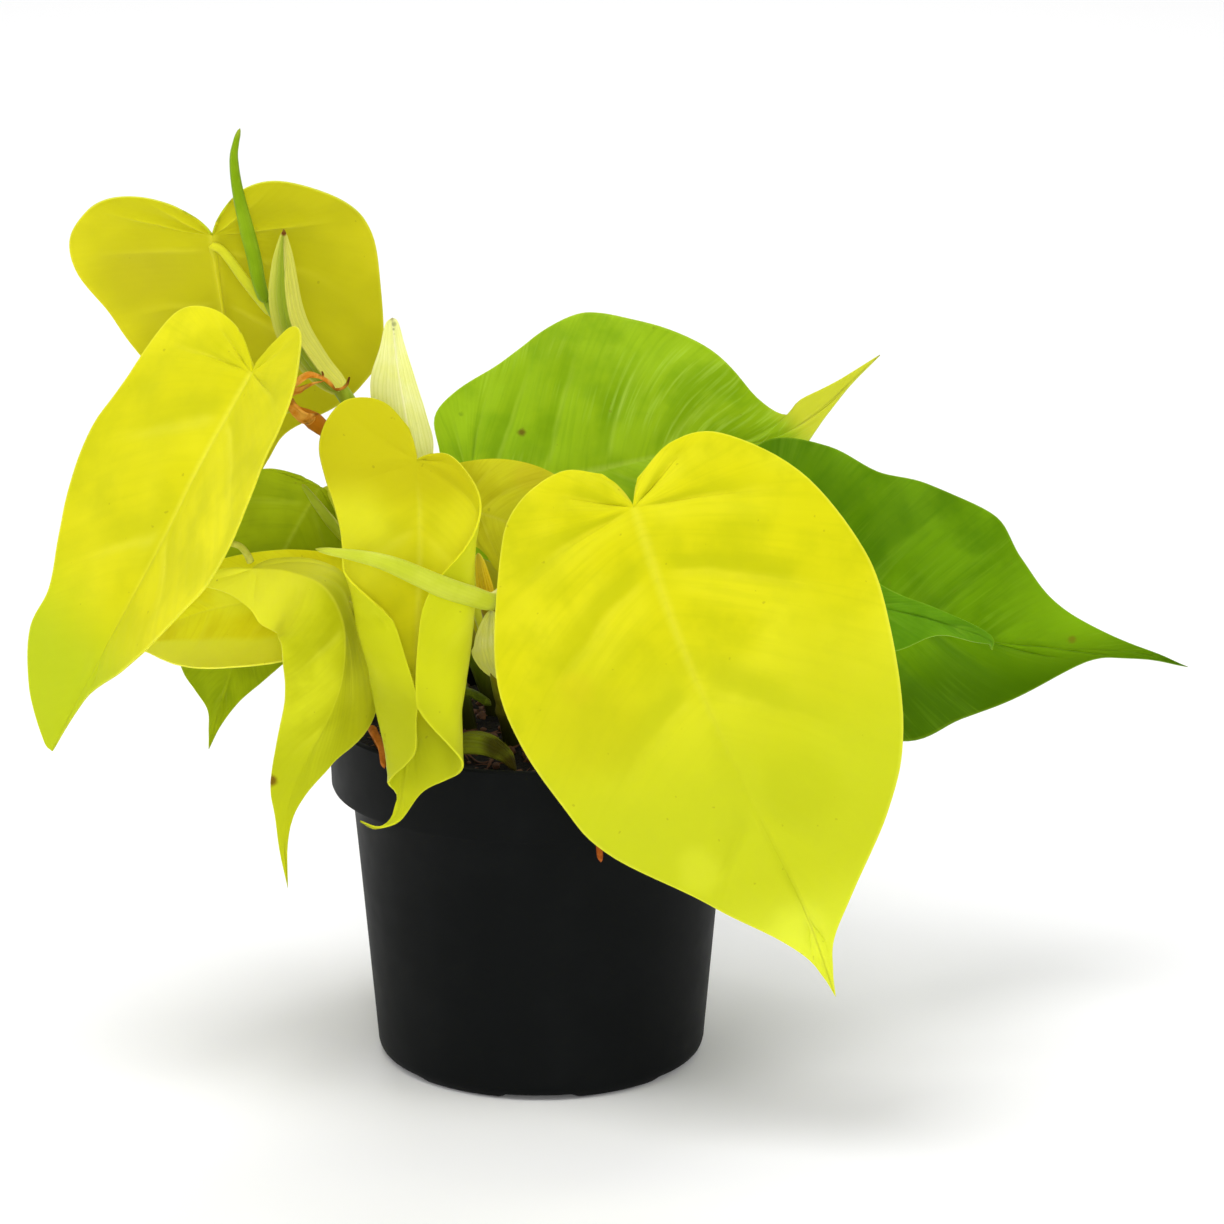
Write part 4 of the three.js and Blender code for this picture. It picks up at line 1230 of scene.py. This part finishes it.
leafBack = {
    "midrib": [[-18.3, 24, 146.5], [5, 28, 147.2], [39.2, 36, 152.8], [60.4, 40, 154.5],
        [73.6, 42, 162.2], [89.5, 46, 176.2]],
    "side": [[0, 0.6, 0.8], [-0.2, 0.6, 0.8]],
    "right": {
        "width": 49,
        "edge": [[0.2, -0.06], [0.42, -0.06], [0.59, 0.01], [0.72, 0.09], [0.83, 0.18], [0.97, 0.33],
            [0.95, 0.41], [0.8, 0.5], [0.6, 0.585], [0.34, 0.67], [0.1, 0.745], [0.12, 0.8],
            [0.05, 0.91], [0, 1]],
        "bends": [[0, -15]],
    },
    "left": {
        "width": 28,
        "edge": [[0.25, -0.08], [0.6, -0.05], [0.9, 0.1], [1, 0.3], [0.85, 0.5], [0.5, 0.65],
            [0.17, 0.77], [0.03, 0.88], [0, 1]],
        "bends": [[10, -15]],
    },
    "petiole": [[-3, 15.5, 145], [-8, 21.5, 147], [-13.5, 23.2, 145]],
    "look": {
        "base": tint(138, 170, 18),
        "light": tint(152, 184, 28),
        "shade": tint(112, 150, 10),
        "vein": tint(190, 208, 86),
        "edge": tint(176, 194, 70),
        "under": tint(166, 184, 48),
        "underShade": tint(150, 170, 38),
        "stalk": tint(160, 180, 52),
        # painted sheen
        "streaks": (tint(186, 212, 84), 0.36),
        "rough": 0.34,
        "gloss": 0.25,
        "veins": 9,
        "puff": 0.5,
        "fades": [
            ((62, 40, 156), (70, 42, 160), tint(194, 197, 52)),
        ],
        "marks": [
            ((-5, 35, 158), 1.6, tint(96, 70, 18), 0.9),
            ((-21, 37, 162), 1.3, tint(80, 110, 16), 0.6),
            ((-24, 36, 160), 1.0, tint(80, 110, 16), 0.5),
        ],
    },
}

leafRight = {
    "midrib": [[57, 2, 132], [83.2, 10, 119], [118, 20, 105], [155.6, 26, 100.3], [171.3, 28, 95.6]],
    "side": [[0.1, 0.5, 0.85], [0.1, 0.5, 0.85]],
    "right": {
        "width": 36,
        "edge": [[0.15, -0.08], [0.45, -0.11], [0.85, -0.06], [1, 0.08], [0.96, 0.22], [1.01, 0.34],
            [0.93, 0.53], [0.65, 0.616], [0.37, 0.69], [0.2, 0.767], [0.06, 0.87], [0, 1]],
        "bends": [[8, -2]],
    },
    "left": {
        "width": 35,
        "edge": [[0.15, -0.08], [0.4, -0.11], [0.8, -0.04], [1, 0.2], [0.95, 0.4], [0.66, 0.51],
            [0.39, 0.63], [0.16, 0.737], [0.07, 0.8], [0.05, 0.87], [0, 1]],
        "bends": [[8, -2]],
    },
    "petiole": [[6, 18, 112], [22, 4, 120], [44, -1, 131]],
    "look": {
        "base": tint(92, 132, 8),
        "light": tint(108, 150, 12),
        "shade": tint(70, 112, 2),
        # painted sheen, fainter than on leaf_back
        "streaks": (tint(130, 168, 40), 0.25),
        "vein": tint(128, 168, 36),
        "edge": tint(150, 178, 48),
        "under": tint(110, 140, 34),
        "underShade": tint(94, 126, 26),
        "stalk": tint(120, 146, 36),
        "rough": 0.36,
        "gloss": 0.2,
        "veins": 8,
        "puff": 0.6,
        "specks": 0.1,
        "fades": [
            # lighter towards the tip: the darker base is partly the leaf's own deeper green and partly
            # painted shade where the front leaf shadows it
            ((112, 18, 113), (146, 26, 103), tint(122, 162, 18)),
            ((102, 14, 108), (106, 4, 94), tint(66, 102, 2)),
        ],
        "marks": [
            ((140, 25, 104), 1.5, tint(120, 96, 24), 0.6),
        ],
    },
}

leafTucked = {
    "midrib": [[58.6, -24, 139], [78.8, -28, 130], [99, -26, 124], [113.5, -22, 118],
        [115.4, -21, 114.5]],
    "side": [[0.1, 0.4, 0.9], [0.6, 0.4, 0.6]],
    "right": {
        "width": 12,
        "edge": [[0.4, -0.08], [0.9, 0], [1, 0.15], [0.75, 0.3], [0.39, 0.51], [0.26, 0.7],
            [0.13, 0.92], [0, 1]],
        "bends": [[10, 10]],
    },
    "left": {
        "width": 16,
        "edge": [[0.4, -0.08], [0.9, 0], [1, 0.2], [0.9, 0.4], [0.62, 0.575], [0.22, 0.73], [0.13, 0.9],
            [0, 1]],
        "bends": [[10, 10]],
    },
    "petiole": [[-9.5, -26, 108], [15, -28, 124], [44, -25, 138]],
    "look": {
        "base": tint(96, 144, 20),
        "light": tint(110, 158, 30),
        "shade": tint(78, 124, 12),
        "vein": tint(150, 186, 60),
        "edge": tint(176, 196, 80),
        "under": tint(112, 150, 34),
        "underShade": tint(92, 132, 24),
        "stalk": tint(110, 146, 36),
        "puff": 0.25,
    },
}

leafOlive = {
    "midrib": [[-21, -12, 150], [-4.6, -18, 146], [13, -26, 137.5], [30.7, -36, 125]],
    "side": [[0, 0.2, 1], [0, 0.2, 1]],
    "right": {
        "width": 16,
        "edge": [[0.3, -0.1], [0.55, -0.075], [0.75, 0], [0.92, 0.13], [1, 0.27], [0.95, 0.4],
            [0.8, 0.55], [0.5, 0.75], [0.2, 0.9], [0, 1]],
        "bends": [[0, -15]],
    },
    "left": {
        "width": 14,
        "edge": [[0.3, -0.08], [0.5, 0], [0.65, 0.15], [0.94, 0.26], [1, 0.4], [0.8, 0.6], [0.4, 0.8],
            [0, 1]],
        "bends": [[0, -15]],
    },
    "petiole": [[-11, -28.5, 115], [-17, -17, 128], [-23, -11, 144]],
    "look": {
        "base": tint(196, 192, 26),
        "light": tint(206, 204, 42),
        "shade": tint(178, 172, 20),
        "edge": tint(206, 134, 48),
        "puff": 0.3,
        "marks": [
            ((-2, -15, 159), 6, tint(202, 176, 48), 0.2),
            ((12, -22, 150), 6, tint(202, 176, 48), 0.2),
        ],
        "vein": tint(216, 212, 84),
    },
}

leafRear = {
    "midrib": [[35, 56, 148], [36, 68, 122], [34, 80, 92], [28, 88, 64]],
    "side": [[-1, 0.1, 0], [-1, 0.1, 0]],
    "right": {"width": 36, "lobe": 0.1, "bends": [[8, -6]], "wave": [1.2, 3, 0.3]},
    "left": {"width": 38, "lobe": 0.1, "bends": [[8, -6]]},
    "petiole": [[3, 19, 122], [14, 32, 140], [30, 50, 147]],
}

leafRearLow = {
    "midrib": [[-20, 62, 118], [-24, 72, 98], [-28, 80, 74], [-33, 84, 50]],
    "side": [[-1, 0.1, 0.1], [-1, 0.1, 0.1]],
    "right": {"width": 28, "lobe": 0.1, "bends": [[8, -6]]},
    "left": {"width": 28, "lobe": 0.1, "bends": [[8, -6]]},
    "petiole": [[-16, 40, 111], [-17, 48, 118], [-19, 57, 118]],
}


makeLeaf("leaf_front", leafFront)
makeLeaf("leaf_folded", leafFolded)
makeLeaf("leaf_drooping", leafDrooping)
makeLeaf("leaf_long", leafLong)
makeLeaf("leaf_high", leafHigh)
makeLeaf("leaf_sideways", leafSideways)
makeLeaf("leaf_green", leafGreen)
makeLeaf("leaf_back", leafBack)
makeLeaf("leaf_right", leafRight)
makeLeaf("leaf_tucked", leafTucked)
makeLeaf("leaf_olive", leafOlive)
makeLeaf("leaf_rear", leafRear)
makeLeaf("leaf_rear_low", leafRearLow)
print("leaves made")


# bracts: papery sheaths with fine lines along them

bractForm = {"columns": 40, "rows": 48, "thickness": 0.45}


def bractSkin(name, look):
    skin = Skin(name)
    turn = skin.uv("X")
    length = skin.uv("Y")
    drift = skin.cloud(90, 3) * 0.06
    lines = skin.maths("SINE", (turn + drift) * (2 * math.pi * look["lines"])) * 0.5 + 0.5
    clouds = skin.smooth(skin.cloud(120, 4), 0.4, 0.65)
    colour = skin.mix(clouds * 0.6, look["base"], look["light"])
    colour = skin.mix(lines**3 * 0.35, colour, look["line"])
    if "left" in look:
        inner = skin.smooth(turn, 0.0, 0.3) * 0.6 + 0.25
        colour = skin.mix((1 - skin.smooth(turn, 0.42, 0.55)) * inner, colour, look["left"])
    keel = 1 - skin.smooth(skin.maths("ABSOLUTE", turn - 0.5), 0.01, 0.05)
    colour = skin.mix(keel * 0.6, colour, look["keel"])
    colour = skin.spots(colour, look.get("marks", ()))
    colour = skin.mix(skin.smooth(length, 0.93, 1.0) * 0.5, colour, look["tip"])
    bumps = [(lines, 0.3, 0.25), (skin.cloud(900, 3), 0.15, 0.1)]
    return skin.finish(colour, 0.55, bumps, **gloss(0.15, look["light"]), **glow(0.4, 0.5))


def makeBract(node, shape):
    def ribs(across, ray, place):
        return 0.12 * math.sin(across * 22) * (1 - ray**4) + 0.3 * noise.noise(place * 120)

    _, sheet = makeBlade(node + "_sheath", shape, bractForm, ribs)
    sheet.data.materials.append(bractSkin(node + "_skin", shape["look"]))
    giveThickness(sheet, bractForm["thickness"])
    settle(sheet, node, sharpAngle=50)


bractRed = {
    "midrib": [[-50.5, -8.2, 179], [-56, -8.8, 185.5], [-61.5, -9, 195], [-63.4, -9, 205],
        [-63.7, -9, 221]],
    "side": [[0.95, 0.1, 0.3], [1, 0, 0]],
    "right": {
        "width": 5.6,
        "edge": [[0.8, 0], [0.95, 0.06], [1, 0.22], [0.9, 0.5], [0.6, 0.78], [0.25, 0.94], [0, 1]],
        "bends": [[45, 65], [40, 50], [40, 40]],
    },
    "left": {"width": 6.5, "edge": bractEdge, "bends": [[50, 60], [30, 40], [20, 20]]},
    "look": {
        "base": tint(208, 206, 90),
        "light": tint(218, 214, 96),
        "line": tint(184, 188, 50),
        "left": tint(124, 148, 20),
        "keel": tint(216, 210, 100),
        "tip": tint(150, 120, 40),
        "lines": 14,
        "marks": [
            ((-63.7, -9.2, 220.4), 1.5, tint(112, 40, 14), 1.0),
        ],
    },
}

bractWhite = {
    "midrib": [[-31, -26.5, 161], [-32.2, -31, 174.5], [-34.4, -33, 190.3], [-35.7, -33, 203.5]],
    "side": [[1, 0, 0.1], [1, 0, 0.1]],
    "right": {
        "width": 7,
        "edge": [[0.6, 0], [0.9, 0.08], [1, 0.2], [0.85, 0.36], [0.62, 0.6], [0.35, 0.85], [0.2, 0.97],
            [0, 1]],
        "bends": [[30, 50], [20, 30]],
    },
    "left": {
        "width": 10,
        "edge": [[0.6, 0], [0.85, 0.1], [1, 0.3], [0.98, 0.5], [0.82, 0.65], [0.45, 0.82], [0.22, 0.96],
            [0, 1]],
        "bends": [[30, 50], [20, 30]],
    },
    "look": {
        "base": tint(236, 238, 150),
        "light": tint(246, 247, 186),
        "line": tint(208, 214, 104),
        "keel": tint(252, 248, 196),
        "tip": tint(150, 110, 50),
        "lines": 18,
        "marks": [
            ((-35.2, -33.3, 202), 0.9, tint(112, 122, 44), 0.55),
            ((-35.4, -33.4, 200.6), 0.55, tint(112, 122, 44), 0.6),
            ((-35.2, -33.5, 199.4), 0.5, tint(120, 130, 50), 0.5),
        ],
    },
}

bractPale = {
    "midrib": [[-9.5, -29, 109], [-12.5, -35, 119], [-11.5, -40.5, 130.5]],
    "side": [[1, -0.1, 0], [1, -0.1, 0]],
    "right": {"width": 5.5, "edge": bractEdge, "bends": [[20, 70]]},
    "left": {
        "width": 7.5,
        "edge": [[0.5, 0], [0.9, 0.06], [1, 0.18], [0.88, 0.32], [0.6, 0.45], [0.42, 0.65], [0.2, 0.9],
            [0, 1]],
        "bends": [[20, 50]],
    },
    "look": {
        "base": tint(248, 250, 116),
        "light": tint(252, 252, 160),
        "line": tint(228, 232, 96),
        "keel": tint(226, 230, 100),
        "tip": tint(190, 190, 90),
        "lines": 9,
        "marks": [
            ((-16.4, -34, 112.5), 1.1, tint(130, 110, 40), 0.6),
        ],
    },
}

sheathAmber = {
    "midrib": [[-12.5, -33, 128.5], [-13.9, -35, 138], [-14.8, -36, 144]],
    "side": [[1, 0, 0.3], [1, 0, 0.3]],
    "right": {"width": 2.6, "edge": bractEdge, "bends": [[20, 40]]},
    "left": {"width": 2.4, "edge": bractEdge, "bends": [[20, 40]]},
    "look": {
        "base": tint(236, 202, 40),
        "light": tint(242, 212, 60),
        "line": tint(224, 186, 38),
        "keel": tint(234, 198, 44),
        "tip": tint(204, 170, 50),
        "lines": 5,
    },
}

leafSoil = {
    "midrib": [[-25.5, -32, 85.5], [-21.5, -34, 95], [-14, -39, 97], [-8, -45, 95], [-5.3, -49, 91]],
    "side": [[-0.6, -0.7, -0.3], [-0.6, -0.7, -0.3]],
    "right": {"width": 6, "edge": bractEdge, "bends": [[20, 40]]},
    "left": {"width": 3.5, "edge": bractEdge, "bends": [[20, 20]]},
    "look": {
        "base": tint(104, 112, 22),
        "light": tint(128, 138, 32),
        "line": tint(84, 84, 18),
        "keel": tint(112, 116, 30),
        "tip": tint(60, 50, 20),
        "lines": 10,
        "marks": [
            ((-10, -43, 96), 6, tint(52, 44, 12), 0.85),
            ((-6, -48, 92), 5, tint(48, 36, 12), 0.9),
        ],
    },
}


makeBract("bract_red", bractRed)
makeBract("bract_white", bractWhite)
makeBract("bract_pale", bractPale)
makeBract("sheath_amber", sheathAmber)
makeBract("leaf_soil", leafSoil)
print("bracts made")


# rolled young leaves: a spiral of thin leaf, with its outer edge showing as a line

spearForm = {"columns": 64, "rows": 70, "thickness": 0.35, "core": 0.45, "lines": 26}


def rolledSkin(name, look):
    skin = Skin(name)
    turn = skin.uv("X")
    length = skin.uv("Y")
    lines = skin.maths("SINE", turn * (2 * math.pi * spearForm["lines"])) * 0.5 + 0.5
    clouds = skin.smooth(skin.cloud(110, 3), 0.4, 0.65)
    colour = skin.mix(clouds * 0.5, look["base"], look["light"])
    colour = skin.mix(lines * 0.12, colour, look["line"])
    colour = skin.mix(skin.smooth(turn, 0.9, 0.97), colour, look["edge"])
    colour = skin.mix(skin.smooth(length, 0.93, 1.0) * 0.6, colour, look["tip"])
    bumps = [(lines, 0.1, 0.15), (skin.cloud(1200, 3), 0.1, 0.08)]
    return skin.finish(colour, 0.4, bumps, **gloss(0.2, look["light"]), **glow(0.3, 0.2))


def makeSpear(node, shape):
    def section(turn, share):
        angle = 2 * math.pi * (shape["turns"] * turn + shape["lean"] + shape["twist"] * share)
        return angle, lerp(spearForm["core"], 1.0, turn)

    columns, rows = spearForm["columns"], spearForm["rows"]
    sheet = makeTube(node + "_roll", shape["path"], shape["radii"], columns, rows, section)
    sheet.data.materials.append(rolledSkin(node + "_skin", shape["look"]))
    giveThickness(sheet, spearForm["thickness"])
    faceOutwards(sheet)
    settle(sheet, node, sharpAngle=50)


spearTop = {
    "path": [[-69.4, -0.9, 200.5], [-70.8, -3, 206], [-72, -2.6, 212.5], [-73.7, -2, 219.4],
        [-75.8, -2, 229.6], [-76.5, -2.5, 237.4], [-75.8, -3, 242], [-74.7, -3.5, 245.6]],
    "radii": [1.5, 1.9, 2, 1.6, 1.2, 0.5],
    "turns": 1.4,
    "lean": 0.55,
    "twist": 0.12,
    "look": {
        "base": tint(122, 154, 18),
        "light": tint(142, 172, 32),
        "line": tint(100, 132, 14),
        "edge": tint(186, 200, 70),
        "tip": tint(160, 170, 60),
    },
}

spearSide = {
    "path": [[-11, -36, 132], [-9, -48, 137], [-11, -60, 138], [-16, -67, 141.3], [-23.1, -71.5, 145],
        [-37.4, -74, 152], [-53.4, -71, 154.4]],
    "radii": [1.5, 1.8, 2.1, 2.7, 2.9, 2.5, 1.6, 0.6],
    "turns": 1.4,
    "lean": 0.2,
    "twist": 0.15,
    "look": {
        "base": tint(184, 194, 50),
        "light": tint(204, 212, 76),
        "line": tint(158, 174, 38),
        "edge": tint(232, 228, 140),
        "tip": tint(168, 176, 60),
    },
}

spearSmall = {
    "path": [[-49.5, -8.5, 140], [-52.6, -8.5, 144], [-56.5, -7.5, 149], [-60.3, -6, 154]],
    "radii": [1, 1.4, 1.1, 0.4],
    "turns": 1.4,
    "lean": 0.5,
    "twist": 0.1,
    "look": {
        "base": tint(150, 166, 40),
        "light": tint(168, 180, 58),
        "line": tint(128, 148, 36),
        "edge": tint(200, 200, 100),
        "tip": tint(150, 140, 50),
    },
}


makeSpear("spear_top", spearTop)
makeSpear("spear_side", spearSide)
makeSpear("spear_small", spearSmall)
print("rolled leaves made")


# shoots, dried scraps and roots

strandForm = {"columns": 14, "rows": 56, "seed": 7}


def strandSkin(name, look):
    skin = Skin(name)
    streaks = skin.smooth(skin.cloud(500, 5, distortion=0.6), 0.35, 0.7)
    colour = skin.mix(streaks, look["base"], look["light"])
    dark = skin.smooth(skin.cloud(260, 4), 0.55, 0.75)
    colour = skin.mix(dark * look["darkness"], colour, look["dark"])
    for point, radius, strength in look.get("charred", ()):
        colour = skin.mix(skin.nearness(point, radius) * strength, colour, look["dark"])
    bumps = [(streaks, 0.4, 0.3), (skin.cloud(1900, 3), 0.3, 0.1)]
    return skin.finish(colour, look["rough"], bumps, **gloss(0.2, look["light"]))


def flatSection(part):  # an oval section, turning slowly along the strand
    flat = part.get("flat", 1)

    def section(turn, share):
        angle = 2 * math.pi * turn
        tilt = angle - part.get("lean", 0) - part.get("twist", 0) * share
        return angle, flat / math.hypot(flat * math.cos(tilt), math.sin(tilt))

    return section


def makeStrand(node, shape):
    tubes = []
    columns, rows = strandForm["columns"], strandForm["rows"]
    for index, part in enumerate(shape["parts"]):
        name = f"{node}_strand{index}"
        tube = makeTube(name, part["path"], part["radii"], columns, rows, flatSection(part))
        faceOutwards(tube)
        for vertex in tube.data.vertices:
            vertex.co += noise.noise_vector(vertex.co * 260) * shape["crumple"] * mm
        tubes.append(tube)
    strand = joinPieces(tubes[0], tubes[1:])
    strand.data.materials.append(strandSkin(node + "_skin", shape["look"]))
    settle(strand, node, sharpAngle=60)


shootHook = {
    "parts": [
        {
            "path": [[-71.3, -39.2, 142.2], [-72.4, -38.5, 144.4], [-74.2, -38, 146.3],
                [-76.6, -38, 146.9], [-78.7, -38, 145.6]],
            "radii": [1, 0.9, 0.8, 0.4],
        },
    ],
    "crumple": 0.05,
    "look": {
        "base": tint(186, 190, 60),
        "light": tint(204, 204, 92),
        "dark": tint(140, 110, 40),
        "darkness": 0.3,
        "rough": 0.5,
    },
}

sheathDried = {
    "parts": [
        {
            "path": [[-57, -15.3, 172.8], [-59.2, -18.2, 174.6], [-61.5, -19.2, 177.4],
                [-62.6, -19.4, 180]],
            "radii": [1.6, 1.7, 1.4, 1.1],
            "flat": 0.4,
        },
        {
            "path": [[-62.5, -18.5, 179], [-62.2, -20, 181.5], [-60.5, -20.2, 184],
                [-58.2, -19.5, 185.6], [-56, -18.6, 185.6], [-54, -18, 184.6], [-52, -17, 182.7],
                [-50.6, -16.6, 181.2]],
            "radii": [0.8, 1.3, 1.7, 1.8, 1.4, 0.9, 0.6, 0.4],
            "flat": 0.35,
            "twist": 2,
        },
        {
            "path": [[-62.3, -19, 180.5], [-59.5, -20.2, 182.4], [-56.5, -19.4, 183.4],
                [-53.6, -17.8, 184]],
            "radii": [0.6, 1.2, 1.1, 0.4],
            "flat": 0.3,
            "lean": 1,
            "twist": 1.5,
        },
        {
            "path": [[-50.8, -16.6, 181.4], [-49.4, -16.4, 181.6], [-48, -16, 182.7],
                [-47.3, -16, 184.8]],
            "radii": [0.4, 0.35, 0.35, 0.25],
        },
        {
            "path": [[-62.6, -19.8, 180], [-60.9, -20, 178.2], [-59.4, -19.6, 176.4],
                [-57.3, -18.6, 175.4], [-55.2, -17.4, 175.4]],
            "radii": [0.7, 0.5, 0.4, 0.35, 0.25],
            "flat": 0.6,
        },
        {
            "path": [[-54.4, -18.4, 184.4], [-54, -18.2, 185.6], [-54.2, -18.2, 186.6]],
            "radii": [0.35, 0.3, 0.2],
        },
    ],
    "crumple": 0.35,
    "look": {
        "base": tint(204, 124, 28),
        "light": tint(224, 164, 70),
        "dark": tint(84, 40, 12),
        "darkness": 0.9,
        "rough": 0.6,
        "charred": [
            ((-47.4, -16, 184.4), 3.4, 0.95),
            ((-51, -16.7, 181.3), 2.2, 0.6),
            ((-54.2, -18.2, 186.2), 1.3, 0.9),
            ((-55.4, -17.5, 175.4), 2.4, 0.7),
            ((-62.4, -19.8, 179.6), 2, 0.5),
            ((-58, -19.6, 182.6), 1.6, 0.4),
        ],
    },
}

shootStub = {
    "parts": [
        {
            "path": [[-28, -26, 84], [-27, -27, 98], [-23, -28, 105.5], [-17, -28, 105],
                [-11.8, -29, 102.2]],
            "radii": [1.2, 1.2, 1.3, 1],
        },
    ],
    "crumple": 0.1,
    "look": {
        "base": tint(58, 68, 14),
        "light": tint(80, 92, 20),
        "dark": tint(70, 56, 20),
        "darkness": 0.3,
        "rough": 0.5,
    },
}

rootLeft = {
    "parts": [
        {
            "path": [[-38, -22, 84], [-41, -26.5, 92], [-42.2, -31.5, 96.6], [-40.8, -36.5, 96.2],
                [-39.3, -40.9, 93.6], [-38.6, -42.4, 89.5]],
            "radii": [1.1, 1.1, 1, 0.8],
        },
    ],
    "crumple": 0.25,
    "look": {
        "base": tint(150, 84, 24),
        "light": tint(180, 108, 40),
        "dark": tint(90, 44, 14),
        "darkness": 0.4,
        "rough": 0.85,
    },
}

rootFront = {
    "parts": [
        {
            "path": [[10, -44, 84], [12, -49, 93], [13, -53.2, 94.8], [14, -56, 90], [14.8, -56.4, 80],
                [16, -56.8, 69.5]],
            "radii": [1, 1, 1, 0.8],
        },
    ],
    "crumple": 0.2,
    "look": {
        "base": tint(150, 74, 24),
        "light": tint(184, 100, 40),
        "dark": tint(80, 40, 14),
        "darkness": 0.5,
        "rough": 0.85,
    },
}


noise.seed_set(strandForm["seed"])  # noise_vector otherwise starts from the clock
makeStrand("shoot_hook", shootHook)
makeStrand("sheath_dried", sheathDried)
makeStrand("shoot_stub", shootStub)
makeStrand("root_left", rootLeft)
makeStrand("root_front", rootFront)
print("shoots and roots made")
